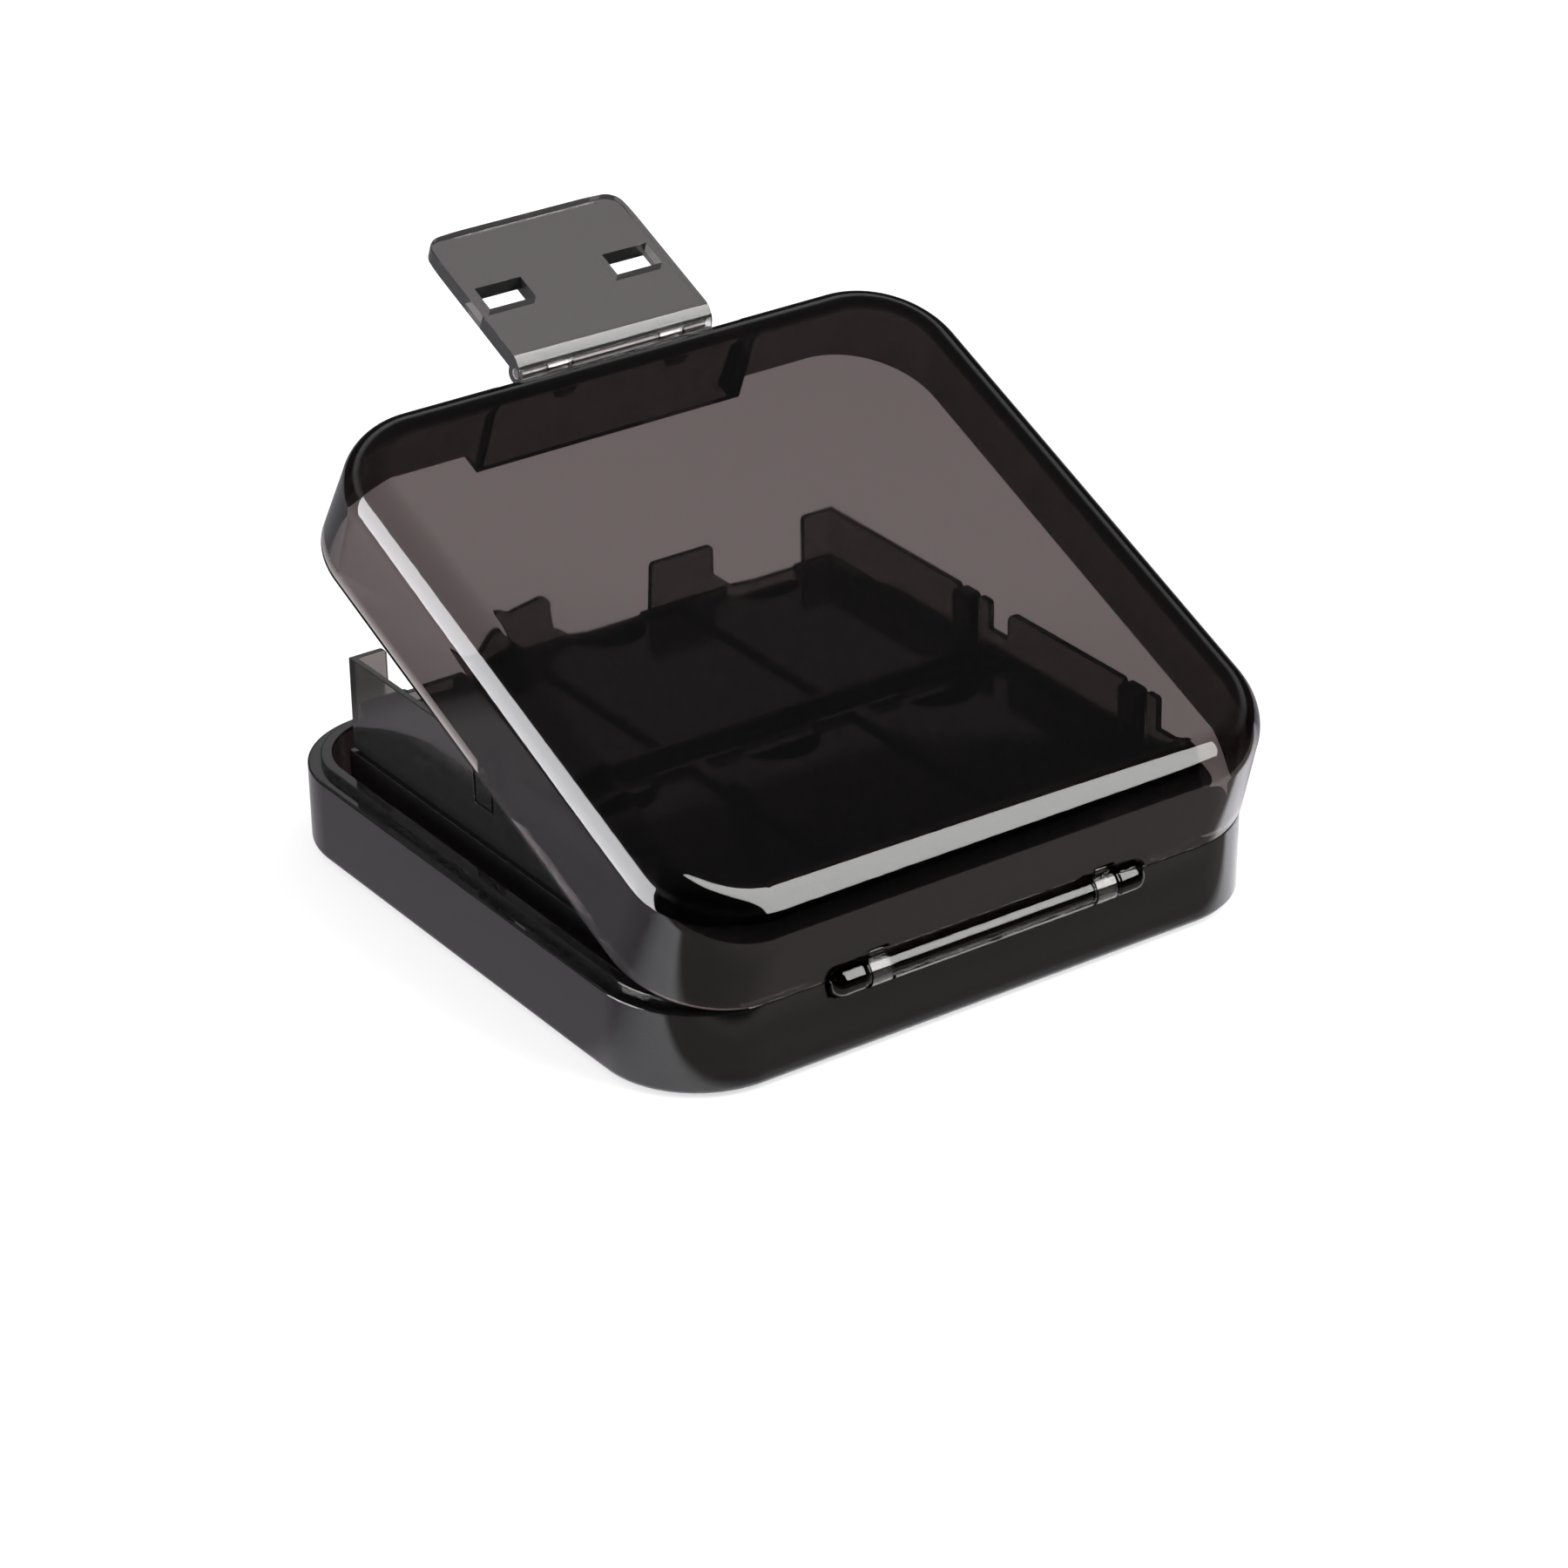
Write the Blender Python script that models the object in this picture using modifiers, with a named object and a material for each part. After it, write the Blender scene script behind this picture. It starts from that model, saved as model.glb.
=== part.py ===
# Game card case: a shallow square base with two stacked card racks, a deep clear
# lid on a snap-in axle, and a swing-out latch that hooks over two nubs on the base.
# Frame: origin at the centre of the base's underside, X along the lid's hinge,
# hinge face at -Y, latch face at +Y, Z up. Sizes are in metres.
# The lid and the latch are drawn as they lie in the closed case, apart from the
# latch's plate, which stands out level with the lid's top. Two empties turn them.

import math

import bpy
import bmesh
from mathutils import Matrix, Vector

MM = 0.001

# Case. Its width and depth follow from the cards, the racks and the room round them.
CORNER_RADIUS = 12.0 * MM
BASE_HEIGHT = 10.0 * MM
LID_HEIGHT = 13.6 * MM
PARTING_GAP = 0.15 * MM

# Base shell
BASE_WALL = 2.8 * MM
BASE_FLOOR = 1.6 * MM
BASE_FOOT_RADIUS = 0.9 * MM
SIDE_ROOM = 4.4 * MM
END_ROOM = 3.025 * MM
LIP_INSET = 1.5 * MM
LIP_HEIGHT = 0.9 * MM

# Lid shell
LID_WALL = 1.25 * MM
LID_TOP = 1.4 * MM
LID_DRAFT = 0.05
LID_TOP_RADIUS = 4.4 * MM
LID_REST_ANGLE = math.radians(23.03)

# Hinge, with its axis in the plane of the hinge face
HINGE_DROP = 0.66 * MM
PIN_RADIUS = 1.4 * MM
PIN_CAP_RADIUS = 1.75 * MM
PIN_HALF_LENGTH = 21.0 * MM
PIN_CLEARANCE = 0.12 * MM
CRADLE_HALF_LENGTH = 13.4 * MM
CRADLE_WALL = 0.3 * MM
CRADLE_FRONT_ANGLE = math.radians(202)
CRADLE_BACK_ANGLE = math.radians(60)
KNUCKLE_LENGTH = 3.1 * MM
KNUCKLE_WALL = 0.3 * MM
KNUCKLE_WEB = 1.8 * MM
KNUCKLE_MOUTH = 1.9 * MM
HINGE_GAP = 0.25 * MM
LID_POCKET_RADIUS = 2.7 * MM
LID_POCKET_WALL = 1.0 * MM

# Latch
LATCH_WIDTH = 26.0 * MM
LATCH_THICKNESS = 2.0 * MM
LATCH_BEND_RADIUS = 2.2 * MM
LATCH_CORNER_RADIUS = 2.2 * MM
LATCH_FLOOR_GAP = 0.35 * MM
LATCH_FACE_GAP = 0.25 * MM
LATCH_BELOW_TOP = 2.3 * MM
LATCH_BARREL_RADIUS = 1.1 * MM
LATCH_PIN_RADIUS = 0.55 * MM
LATCH_PIN_CLEARANCE = 0.1 * MM
LATCH_PIN_END_COVER = 0.6 * MM
LUG_WIDTH = 2.8 * MM
LUG_SPACING = 15.0 * MM
LUG_RADIUS = 0.9 * MM
LUG_CLEARANCE = 0.3 * MM
LUG_NECK = 0.45 * MM
LUG_NECK_SET = 0.1 * MM
LUG_NECK_LENGTH = 1.35 * MM
LUG_WEB_FOOT = 3.9 * MM
LUG_WEB_INSET = 0.2 * MM
LUG_BITE = 0.5 * MM
SLOT_WIDTH = 6.1 * MM
SLOT_HEIGHT = 3.5 * MM
SLOT_SPACING = 17.1 * MM
SLOT_ABOVE_RIM = 3.0 * MM
GRIP_LENGTH = 19.0 * MM
GRIP_WIDTH = 0.7 * MM
GRIP_DEPTH = 0.3 * MM
GRIP_EDGE = 0.7 * MM
RECESS_WIDTH = 33.2 * MM
RECESS_DEPTH = 2.2 * MM

# Catch on the base, in the foot of the lid's recess
CATCH_HEIGHT = 1.4 * MM
CATCH_REACH = 1.2 * MM
CATCH_CLEARANCE = 0.3 * MM
TONGUE_THICKNESS = 1.7 * MM
TONGUE_HEIGHT = 1.3 * MM

# Cards and the racks that hold them
CARD_WIDTH = 21.0 * MM
CARD_LENGTH = 31.0 * MM
CARD_CLEARANCE = 0.3 * MM
DIVIDER = 0.65 * MM
RACK_WALL = 0.8 * MM
RACK_FLOOR = 0.8 * MM
RACK_GAP = 0.3 * MM
ROW_GAP = 3.85 * MM
NEAR_MARGIN = 1.5 * MM
LOWER_RACK_HEIGHT = 7.7 * MM
LOWER_RACK_LEDGE = 0.4 * MM
UPPER_RACK_HEIGHT = 11.4 * MM
UPPER_POCKET_DEPTH = 3.3 * MM
NEAR_WALL_DROP = 3.9 * MM
FAR_GAP_DROP = 6.3 * MM
SIDE_GAP_DROP = 3.5 * MM
SIDE_GAP_WIDTH = 3.45 * MM
POST_WIDTH = 2.1 * MM
POST_TOP_RADIUS = 0.6 * MM
FAR_CORNER_POST = 4.6 * MM
FAR_POST_WIDTH = 9.0 * MM
FAR_POST_SPACING = 22.8 * MM
FAR_POST_FOOT = 2.6 * MM
FAR_POST_ROUND = 1.8 * MM
FAR_POST_DIP_RADIUS = 1.6 * MM
FAR_POST_DIP_DEPTH = 0.6 * MM
SIDE_GAP_ROUND = 1.4 * MM

# Card trays that lift out of the upper rack
TRAY_FLOOR = 0.8 * MM
TRAY_EDGE_HEIGHT = 0.8 * MM
TRAY_CLEARANCE = 0.3 * MM
EAR_LENGTH = 3.2 * MM
EAR_CLEARANCE = 0.35 * MM
EAR_PITCH = 30.8 * MM
EAR_TOP_RADIUS = 0.7 * MM
FINGER_SCOOP_RADIUS = 5.0 * MM

# Smoothness
CORNER_SEGMENTS = 10
EDGE_SEGMENTS = 5
ROUND_SEGMENTS = 24

# Places worked out from the sizes above
POCKET_WIDTH = CARD_WIDTH + CARD_CLEARANCE
POCKET_LENGTH = CARD_LENGTH + CARD_CLEARANCE
COLUMN_PITCH = POCKET_WIDTH + DIVIDER
ROW_PITCH = POCKET_LENGTH + ROW_GAP
RACK_HALF_WIDTH = COLUMN_PITCH + POCKET_WIDTH / 2 + RACK_WALL
RACK_INNER_DEPTH = 2 * POCKET_LENGTH + ROW_GAP + NEAR_MARGIN
RACK_FAR = RACK_INNER_DEPTH / 2 + RACK_WALL
RACK_NEAR = -RACK_FAR
FAR_ROW_FAR = RACK_FAR - RACK_WALL
LOWER_RACK_HALF_WIDTH = RACK_HALF_WIDTH + LOWER_RACK_LEDGE
LOWER_RACK_HALF_DEPTH = RACK_FAR + LOWER_RACK_LEDGE
HALF_WIDTH = LOWER_RACK_HALF_WIDTH + SIDE_ROOM + BASE_WALL
HALF_DEPTH = LOWER_RACK_HALF_DEPTH + END_ROOM + BASE_WALL
CASE_HEIGHT = BASE_HEIGHT + LID_HEIGHT
HINGE_AXIS = Vector((0, -HALF_DEPTH, BASE_HEIGHT - HINGE_DROP))
LID_BOTTOM = BASE_HEIGHT + PARTING_GAP
RECESS_FACE = HALF_DEPTH - RECESS_DEPTH
LATCH_PIVOT = Vector((0, HALF_DEPTH, CASE_HEIGHT - LATCH_BELOW_TOP))
PLATE_UNDER = LATCH_PIVOT.z + LATCH_FACE_GAP
PLATE_TOP = PLATE_UNDER + LATCH_THICKNESS
PLATE_END = LATCH_PIVOT.y + LATCH_PIVOT.z - LATCH_FLOOR_GAP
CATCH_BOTTOM = BASE_HEIGHT + TONGUE_HEIGHT - CATCH_HEIGHT
SLOT_TOP = BASE_HEIGHT + SLOT_ABOVE_RIM
LOWER_RACK_BOTTOM = BASE_FLOOR + RACK_GAP
LOWER_RACK_TOP = LOWER_RACK_BOTTOM + LOWER_RACK_HEIGHT
UPPER_RACK_BOTTOM = LOWER_RACK_TOP + RACK_GAP
UPPER_RACK_TOP = UPPER_RACK_BOTTOM + UPPER_RACK_HEIGHT
POCKET_TOP = UPPER_RACK_BOTTOM + RACK_FLOOR + UPPER_POCKET_DEPTH
TRAY_BOTTOM = POCKET_TOP + TRAY_CLEARANCE
TRAY_TOP = TRAY_BOTTOM + TRAY_FLOOR
FAR_GAP_FLOOR = UPPER_RACK_TOP - FAR_GAP_DROP
SIDE_GAP_FAR = FAR_ROW_FAR - POCKET_LENGTH - TRAY_CLEARANCE
EAR_NEAR = SIDE_GAP_FAR + POST_WIDTH + EAR_CLEARANCE
ABOVE = 5.0 * MM
BORE_OVERRUN = 1.0 * MM

SMOKE = (0.035, 0.032, 0.033)
SMOKE_DARK = (0.012, 0.012, 0.013)
STEEL = (0.55, 0.55, 0.56)


def clear_scene():
    for obj in list(bpy.data.objects):
        bpy.data.objects.remove(obj, do_unlink=True)


def new_collection(name):
    collection = bpy.data.collections.new(name)
    bpy.context.scene.collection.children.link(collection)
    return collection


def plastic(name, colour, roughness, metallic=0.0):
    material = bpy.data.materials.new(name)
    material.use_nodes = True
    shader = material.node_tree.nodes["Principled BSDF"]
    shader.inputs["Base Color"].default_value = (*colour, 1.0)
    shader.inputs["Roughness"].default_value = roughness
    shader.inputs["Metallic"].default_value = metallic
    return material


clear_scene()
PARTS = new_collection("game_card_case")
TOOLS = new_collection("shaping")


def from_bmesh(name, bm, collection):
    bmesh.ops.recalc_face_normals(bm, faces=bm.faces)
    mesh = bpy.data.meshes.new(name)
    bm.to_mesh(mesh)
    bm.free()
    obj = bpy.data.objects.new(name, mesh)
    collection.objects.link(obj)
    if collection is TOOLS:
        obj.hide_render = True
        obj.display_type = "WIRE"
    return obj


def block_bmesh(xs, ys, zs):
    size = Vector((xs[1] - xs[0], ys[1] - ys[0], zs[1] - zs[0]))
    centre = Vector((sum(xs) / 2, sum(ys) / 2, sum(zs) / 2))
    bm = bmesh.new()
    place = Matrix.Translation(centre) @ Matrix.Diagonal(size).to_4x4()
    bmesh.ops.create_cube(bm, size=1, matrix=place)
    return bm


def block(name, xs, ys, zs, collection=TOOLS):
    return from_bmesh(name, block_bmesh(xs, ys, zs), collection)


def round_edges(bm, edges, radius, segments):
    bmesh.ops.bevel(
        bm, geom=edges, offset=radius, offset_type="OFFSET", affect="EDGES",
        segments=segments, profile=0.5, material=-1)


def upright_edges(bm):
    return [e for e in bm.edges if abs(e.verts[0].co.z - e.verts[1].co.z) > 0.0001]


def level_edges(bm, height):
    return [e for e in bm.edges if all(abs(v.co.z - height) < 0.00001 for v in e.verts)]


def shell_block(name, inset, bottom, top, collection=TOOLS, draft=0.0, top_radius=0.0, foot_radius=0.0):
    """A square block with round corners, inset from the case's outline, its sides leaning in."""
    half_x = HALF_WIDTH - inset
    half_y = HALF_DEPTH - inset
    bm = block_bmesh((-half_x, half_x), (-half_y, half_y), (bottom, top))
    round_edges(bm, upright_edges(bm), CORNER_RADIUS - inset, CORNER_SEGMENTS)
    for vert in bm.verts:
        lean = draft * (vert.co.z - BASE_HEIGHT)
        vert.co.x *= (half_x - lean) / half_x
        vert.co.y *= (half_y - lean) / half_y
    if top_radius:
        round_edges(bm, level_edges(bm, top), top_radius, EDGE_SEGMENTS)
    if foot_radius:
        round_edges(bm, level_edges(bm, bottom), foot_radius, EDGE_SEGMENTS - 2)
    return from_bmesh(name, bm, collection)


def drum(name, centre, span, radius, collection=TOOLS, axis="X"):
    """A round bar along one axis, through a centre."""
    middle = (span[0] + span[1]) / 2
    place = {
        "X": (middle, centre[1], centre[2]), "Y": (centre[0], middle, centre[2]),
        "Z": (centre[0], centre[1], middle)}[axis]
    turn = {
        "X": Matrix.Rotation(math.pi / 2, 4, "Y"), "Y": Matrix.Rotation(math.pi / 2, 4, "X"),
        "Z": Matrix.Identity(4)}[axis]
    bm = bmesh.new()
    bmesh.ops.create_cone(
        bm, cap_ends=True, segments=ROUND_SEGMENTS, radius1=radius, radius2=radius,
        depth=span[1] - span[0], matrix=Matrix.Translation(place) @ turn)
    return from_bmesh(name, bm, collection)


def capsule(name, centre, half_length, radius):
    """A round bar along X with ball ends: a sphere pulled apart at its middle."""
    bm = bmesh.new()
    bmesh.ops.create_uvsphere(
        bm, u_segments=ROUND_SEGMENTS, v_segments=9, radius=radius,
        matrix=Matrix.Rotation(math.pi / 2, 4, "Y"))
    stretch = half_length - radius
    for vert in bm.verts:
        side = math.copysign(1, vert.co.x)
        if abs(vert.co.x) < radius / 4:
            arm = math.hypot(vert.co.y, vert.co.z)
            vert.co.y *= radius / arm
            vert.co.z *= radius / arm
        vert.co.x += side * stretch
    bmesh.ops.translate(bm, vec=(0, centre.y, centre.z), verts=bm.verts)
    return from_bmesh(name, bm, TOOLS)


def prism(name, outline, axis, span, collection=TOOLS):
    """A flat outline pushed along X or Y; its points are (y, z) or (x, z)."""
    bm = bmesh.new()
    if axis == "X":
        verts = [bm.verts.new((span[0], a, b)) for a, b in outline]
        push = (span[1] - span[0], 0, 0)
    else:
        verts = [bm.verts.new((a, span[0], b)) for a, b in outline]
        push = (0, span[1] - span[0], 0)
    face = bm.faces.new(verts)
    pushed = bmesh.ops.extrude_face_region(bm, geom=[face])
    moved = [g for g in pushed["geom"] if isinstance(g, bmesh.types.BMVert)]
    bmesh.ops.translate(bm, vec=push, verts=moved)
    return from_bmesh(name, bm, collection)


def boolean(target, tool, operation):
    modifier = target.modifiers.new(tool.name, "BOOLEAN")
    modifier.operation = operation
    modifier.object = tool
    modifier.solver = "EXACT"


def cut(target, *tools):
    for tool in tools:
        boolean(target, tool, "DIFFERENCE")


def add(target, *tools):
    for tool in tools:
        boolean(target, tool, "UNION")


def finish(obj, material):
    obj.data.materials.append(material)
    obj.data.shade_smooth()
    obj.data.set_sharp_from_angle(angle=math.radians(35))


def arc(centre, radius, start, end, steps):
    """Points round a centre, from one angle to another."""
    angles = [start + (end - start) * i / steps for i in range(steps + 1)]
    return [(centre[0] + radius * math.cos(a), centre[1] + radius * math.sin(a)) for a in angles]


def make_empty(name, parent, place, angle):
    empty = bpy.data.objects.new(name, None)
    PARTS.objects.link(empty)
    empty.parent = parent
    empty.location = place
    empty.rotation_euler = (angle, 0, 0)
    return empty


def carry(empty, pivot, *objects):
    """Hang objects drawn in the closed case on an empty that stands at a pivot."""
    for obj in objects:
        obj.data.transform(Matrix.Translation(-pivot))
        obj.parent = empty


def rack_pockets(prefix, bottom, top):
    """One cutter for each card pocket: three columns in two rows."""
    pockets = []
    for row in range(2):
        far = FAR_ROW_FAR - row * ROW_PITCH
        for column in (-1, 0, 1):
            centre = column * COLUMN_PITCH
            pockets.append(block(
                f"{prefix}_pocket_{row}_{column + 1}",
                (centre - POCKET_WIDTH / 2, centre + POCKET_WIDTH / 2),
                (far - POCKET_LENGTH, far),
                (bottom, top)))
    return pockets


def cradle_opening():
    """The wedge that opens the base's cradle, so that the axle snaps in from outside."""
    centre = (HINGE_AXIS.y, HINGE_AXIS.z)
    outline = [centre] + arc(centre, ABOVE, CRADLE_BACK_ANGLE, CRADLE_FRONT_ANGLE, 6)
    half = CRADLE_HALF_LENGTH + HINGE_GAP
    return prism("cradle_opening", outline, "X", (-half, half))


def make_base(material):
    shell = shell_block("base_shell", 0, 0, BASE_HEIGHT, PARTS, foot_radius=BASE_FOOT_RADIUS)
    lip_top = BASE_HEIGHT + LIP_HEIGHT
    lip = shell_block("lip", LIP_INSET, BASE_FLOOR, lip_top)
    cavity = shell_block("base_cavity", BASE_WALL, BASE_FLOOR, lip_top + ABOVE)
    hinge_room = PIN_HALF_LENGTH + LID_POCKET_WALL + 2 * HINGE_GAP
    lip_hinge_gap = block(
        "lip_hinge_gap", (-hinge_room, hinge_room),
        (-HALF_DEPTH, -HALF_DEPTH + LID_POCKET_RADIUS + 2 * LID_POCKET_WALL),
        (BASE_HEIGHT, lip_top + ABOVE))
    recess_room = RECESS_WIDTH / 2 + LID_WALL + CATCH_CLEARANCE
    lip_latch_gap = block(
        "lip_latch_gap", (-recess_room, recess_room),
        (RECESS_FACE - 2 * LID_WALL, HALF_DEPTH), (BASE_HEIGHT, lip_top + ABOVE))
    add(shell, lip)
    cut(shell, cavity, lip_hinge_gap, lip_latch_gap)

    bore_radius = PIN_RADIUS + PIN_CLEARANCE
    notch = capsule("axle_notch", HINGE_AXIS, PIN_HALF_LENGTH + HINGE_GAP, PIN_CAP_RADIUS + HINGE_GAP)
    cut(notch, block(
        "notch_middle", (-CRADLE_HALF_LENGTH, CRADLE_HALF_LENGTH),
        (-HALF_DEPTH - ABOVE, -HALF_DEPTH + ABOVE), (BASE_HEIGHT - ABOVE, BASE_HEIGHT + ABOVE)))
    bore = drum("cradle_bore", HINGE_AXIS, (-PIN_HALF_LENGTH, PIN_HALF_LENGTH), bore_radius)
    cradle = drum(
        "cradle", HINGE_AXIS, (-CRADLE_HALF_LENGTH + HINGE_GAP, CRADLE_HALF_LENGTH - HINGE_GAP),
        bore_radius + CRADLE_WALL)
    cut(shell, notch)
    add(shell, cradle)
    cut(shell, bore, cradle_opening())

    tongue_half = RECESS_WIDTH / 2 - CATCH_CLEARANCE
    tongue_face = HALF_DEPTH - PARTING_GAP
    tongue = block(
        "tongue", (-tongue_half, tongue_half), (tongue_face - TONGUE_THICKNESS, tongue_face),
        (BASE_FLOOR, BASE_HEIGHT + TONGUE_HEIGHT))
    add(shell, tongue)
    for side in (-1, 1):
        centre = side * SLOT_SPACING / 2
        half = SLOT_WIDTH / 2 - CATCH_CLEARANCE
        inner = tongue_face - TONGUE_THICKNESS / 2
        outer = HALF_DEPTH + CATCH_REACH
        top = CATCH_BOTTOM + CATCH_HEIGHT - PARTING_GAP
        outline = [(inner, CATCH_BOTTOM), (outer, CATCH_BOTTOM), (outer, CATCH_BOTTOM + CATCH_HEIGHT / 2),
                   (tongue_face, top), (inner, top)]
        add(shell, prism(f"catch_{side + 1}", outline, "X", (centre - half, centre + half)))
    finish(shell, material)


def make_pin(material):
    """The axle: a plain bar with a larger domed cap at each end, turned about its own axis."""
    cap_start = CRADLE_HALF_LENGTH + KNUCKLE_LENGTH
    dome = arc((0, PIN_HALF_LENGTH - PIN_CAP_RADIUS), PIN_CAP_RADIUS, math.pi / 2, 0, EDGE_SEGMENTS)
    half = dome + [(PIN_CAP_RADIUS, cap_start), (PIN_RADIUS, cap_start)]
    profile = half + [(r, -h) for r, h in reversed(half)]
    profile[0] = (0, PIN_HALF_LENGTH)
    profile[-1] = (0, -PIN_HALF_LENGTH)
    mesh = bpy.data.meshes.new("hinge_axle")
    mesh.from_pydata([(r, 0, h) for r, h in profile], [(i, i + 1) for i in range(len(profile) - 1)], [])
    pin = bpy.data.objects.new("hinge_axle", mesh)
    PARTS.objects.link(pin)
    pin.location = HINGE_AXIS
    pin.rotation_euler = (0, math.pi / 2, 0)
    screw = pin.modifiers.new("turn", "SCREW")
    screw.axis = "Z"
    screw.angle = math.tau
    screw.steps = ROUND_SEGMENTS
    screw.render_steps = ROUND_SEGMENTS
    screw.use_merge_vertices = True
    screw.merge_threshold = 0.00001
    screw.use_smooth_shade = True
    pin.data.materials.append(material)
    return pin


def make_lid(material, hinge):
    shell = shell_block(
        "lid_shell", 0, LID_BOTTOM, CASE_HEIGHT, PARTS, draft=LID_DRAFT, top_radius=LID_TOP_RADIUS)
    hollow = shell_block(
        "lid_hollow", LID_WALL, LID_BOTTOM - ABOVE, CASE_HEIGHT - LID_TOP,
        draft=LID_DRAFT, top_radius=LID_TOP_RADIUS - LID_WALL)
    half = RECESS_WIDTH / 2
    recess_back = block(
        "recess_back", (-half - LID_WALL, half + LID_WALL), (RECESS_FACE - LID_WALL, HALF_DEPTH),
        (LID_BOTTOM - 2 * ABOVE, CASE_HEIGHT))
    pocket_back = capsule(
        "hinge_pocket_back", HINGE_AXIS, PIN_HALF_LENGTH + HINGE_GAP + LID_POCKET_WALL,
        LID_POCKET_RADIUS + LID_POCKET_WALL)
    cut(hollow, recess_back, pocket_back)
    recess = block(
        "recess", (-half, half), (RECESS_FACE, HALF_DEPTH + ABOVE),
        (LID_BOTTOM - ABOVE, CASE_HEIGHT + ABOVE))
    pocket = capsule("hinge_pocket", HINGE_AXIS, PIN_HALF_LENGTH + HINGE_GAP, LID_POCKET_RADIUS)
    cut(shell, hollow, recess, pocket)
    tools = [hollow, recess_back, pocket_back, recess, pocket]

    bore_radius = PIN_RADIUS + PIN_CLEARANCE
    for side in (-1, 1):
        start = side * (CRADLE_HALF_LENGTH + HINGE_GAP)
        end = side * (CRADLE_HALF_LENGTH + KNUCKLE_LENGTH - HINGE_GAP)
        xs = (min(start, end), max(start, end))
        knuckle = drum(f"knuckle_{side + 1}", HINGE_AXIS, xs, bore_radius + KNUCKLE_WALL)
        web = block(
            f"knuckle_web_{side + 1}", xs, (-HALF_DEPTH, -HALF_DEPTH + KNUCKLE_WEB),
            (HINGE_AXIS.z + bore_radius, HINGE_AXIS.z + LID_POCKET_RADIUS + LID_POCKET_WALL / 2))
        through = (xs[0] - BORE_OVERRUN, xs[1] + BORE_OVERRUN)
        bore = drum(f"knuckle_bore_{side + 1}", HINGE_AXIS, through, bore_radius)
        mouth = block(
            f"knuckle_mouth_{side + 1}", through,
            (HINGE_AXIS.y - KNUCKLE_MOUTH / 2, HINGE_AXIS.y + KNUCKLE_MOUTH / 2),
            (HINGE_AXIS.z - ABOVE, HINGE_AXIS.z))
        add(shell, knuckle, web)
        cut(shell, bore, mouth)
        tools += [knuckle, web, bore, mouth]

    for side in (-1, 1):
        centre = side * LUG_SPACING / 2
        xs = (centre - LUG_WIDTH / 2, centre + LUG_WIDTH / 2)
        wall = RECESS_FACE - LID_WALL / 2
        neck_far = LATCH_PIVOT.y - LUG_NECK_SET
        neck_near = neck_far - LUG_NECK
        neck_foot = LATCH_PIVOT.z - LUG_NECK_LENGTH
        outline = [
            (wall, neck_foot),
            (neck_near, neck_foot),
            (neck_near, LATCH_PIVOT.z - LUG_BITE),
            (neck_far, LATCH_PIVOT.z - LUG_BITE),
            (neck_far, neck_foot),
            (wall, LATCH_PIVOT.z - LUG_WEB_FOOT)]
        web_xs = (xs[0] + LUG_WEB_INSET, xs[1] - LUG_WEB_INSET)
        web = prism(f"lug_web_{side + 1}", outline, "X", web_xs)
        boss = drum(f"lug_boss_{side + 1}", LATCH_PIVOT, xs, LUG_RADIUS)
        bore = drum(
            f"lug_bore_{side + 1}", LATCH_PIVOT, (xs[0] - BORE_OVERRUN, xs[1] + BORE_OVERRUN),
            LATCH_PIN_RADIUS + LATCH_PIN_CLEARANCE)
        add(shell, web, boss)
        cut(shell, bore)
        tools += [web, boss, bore]
    carry(hinge, HINGE_AXIS, shell, *tools)
    finish(shell, material)


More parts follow.
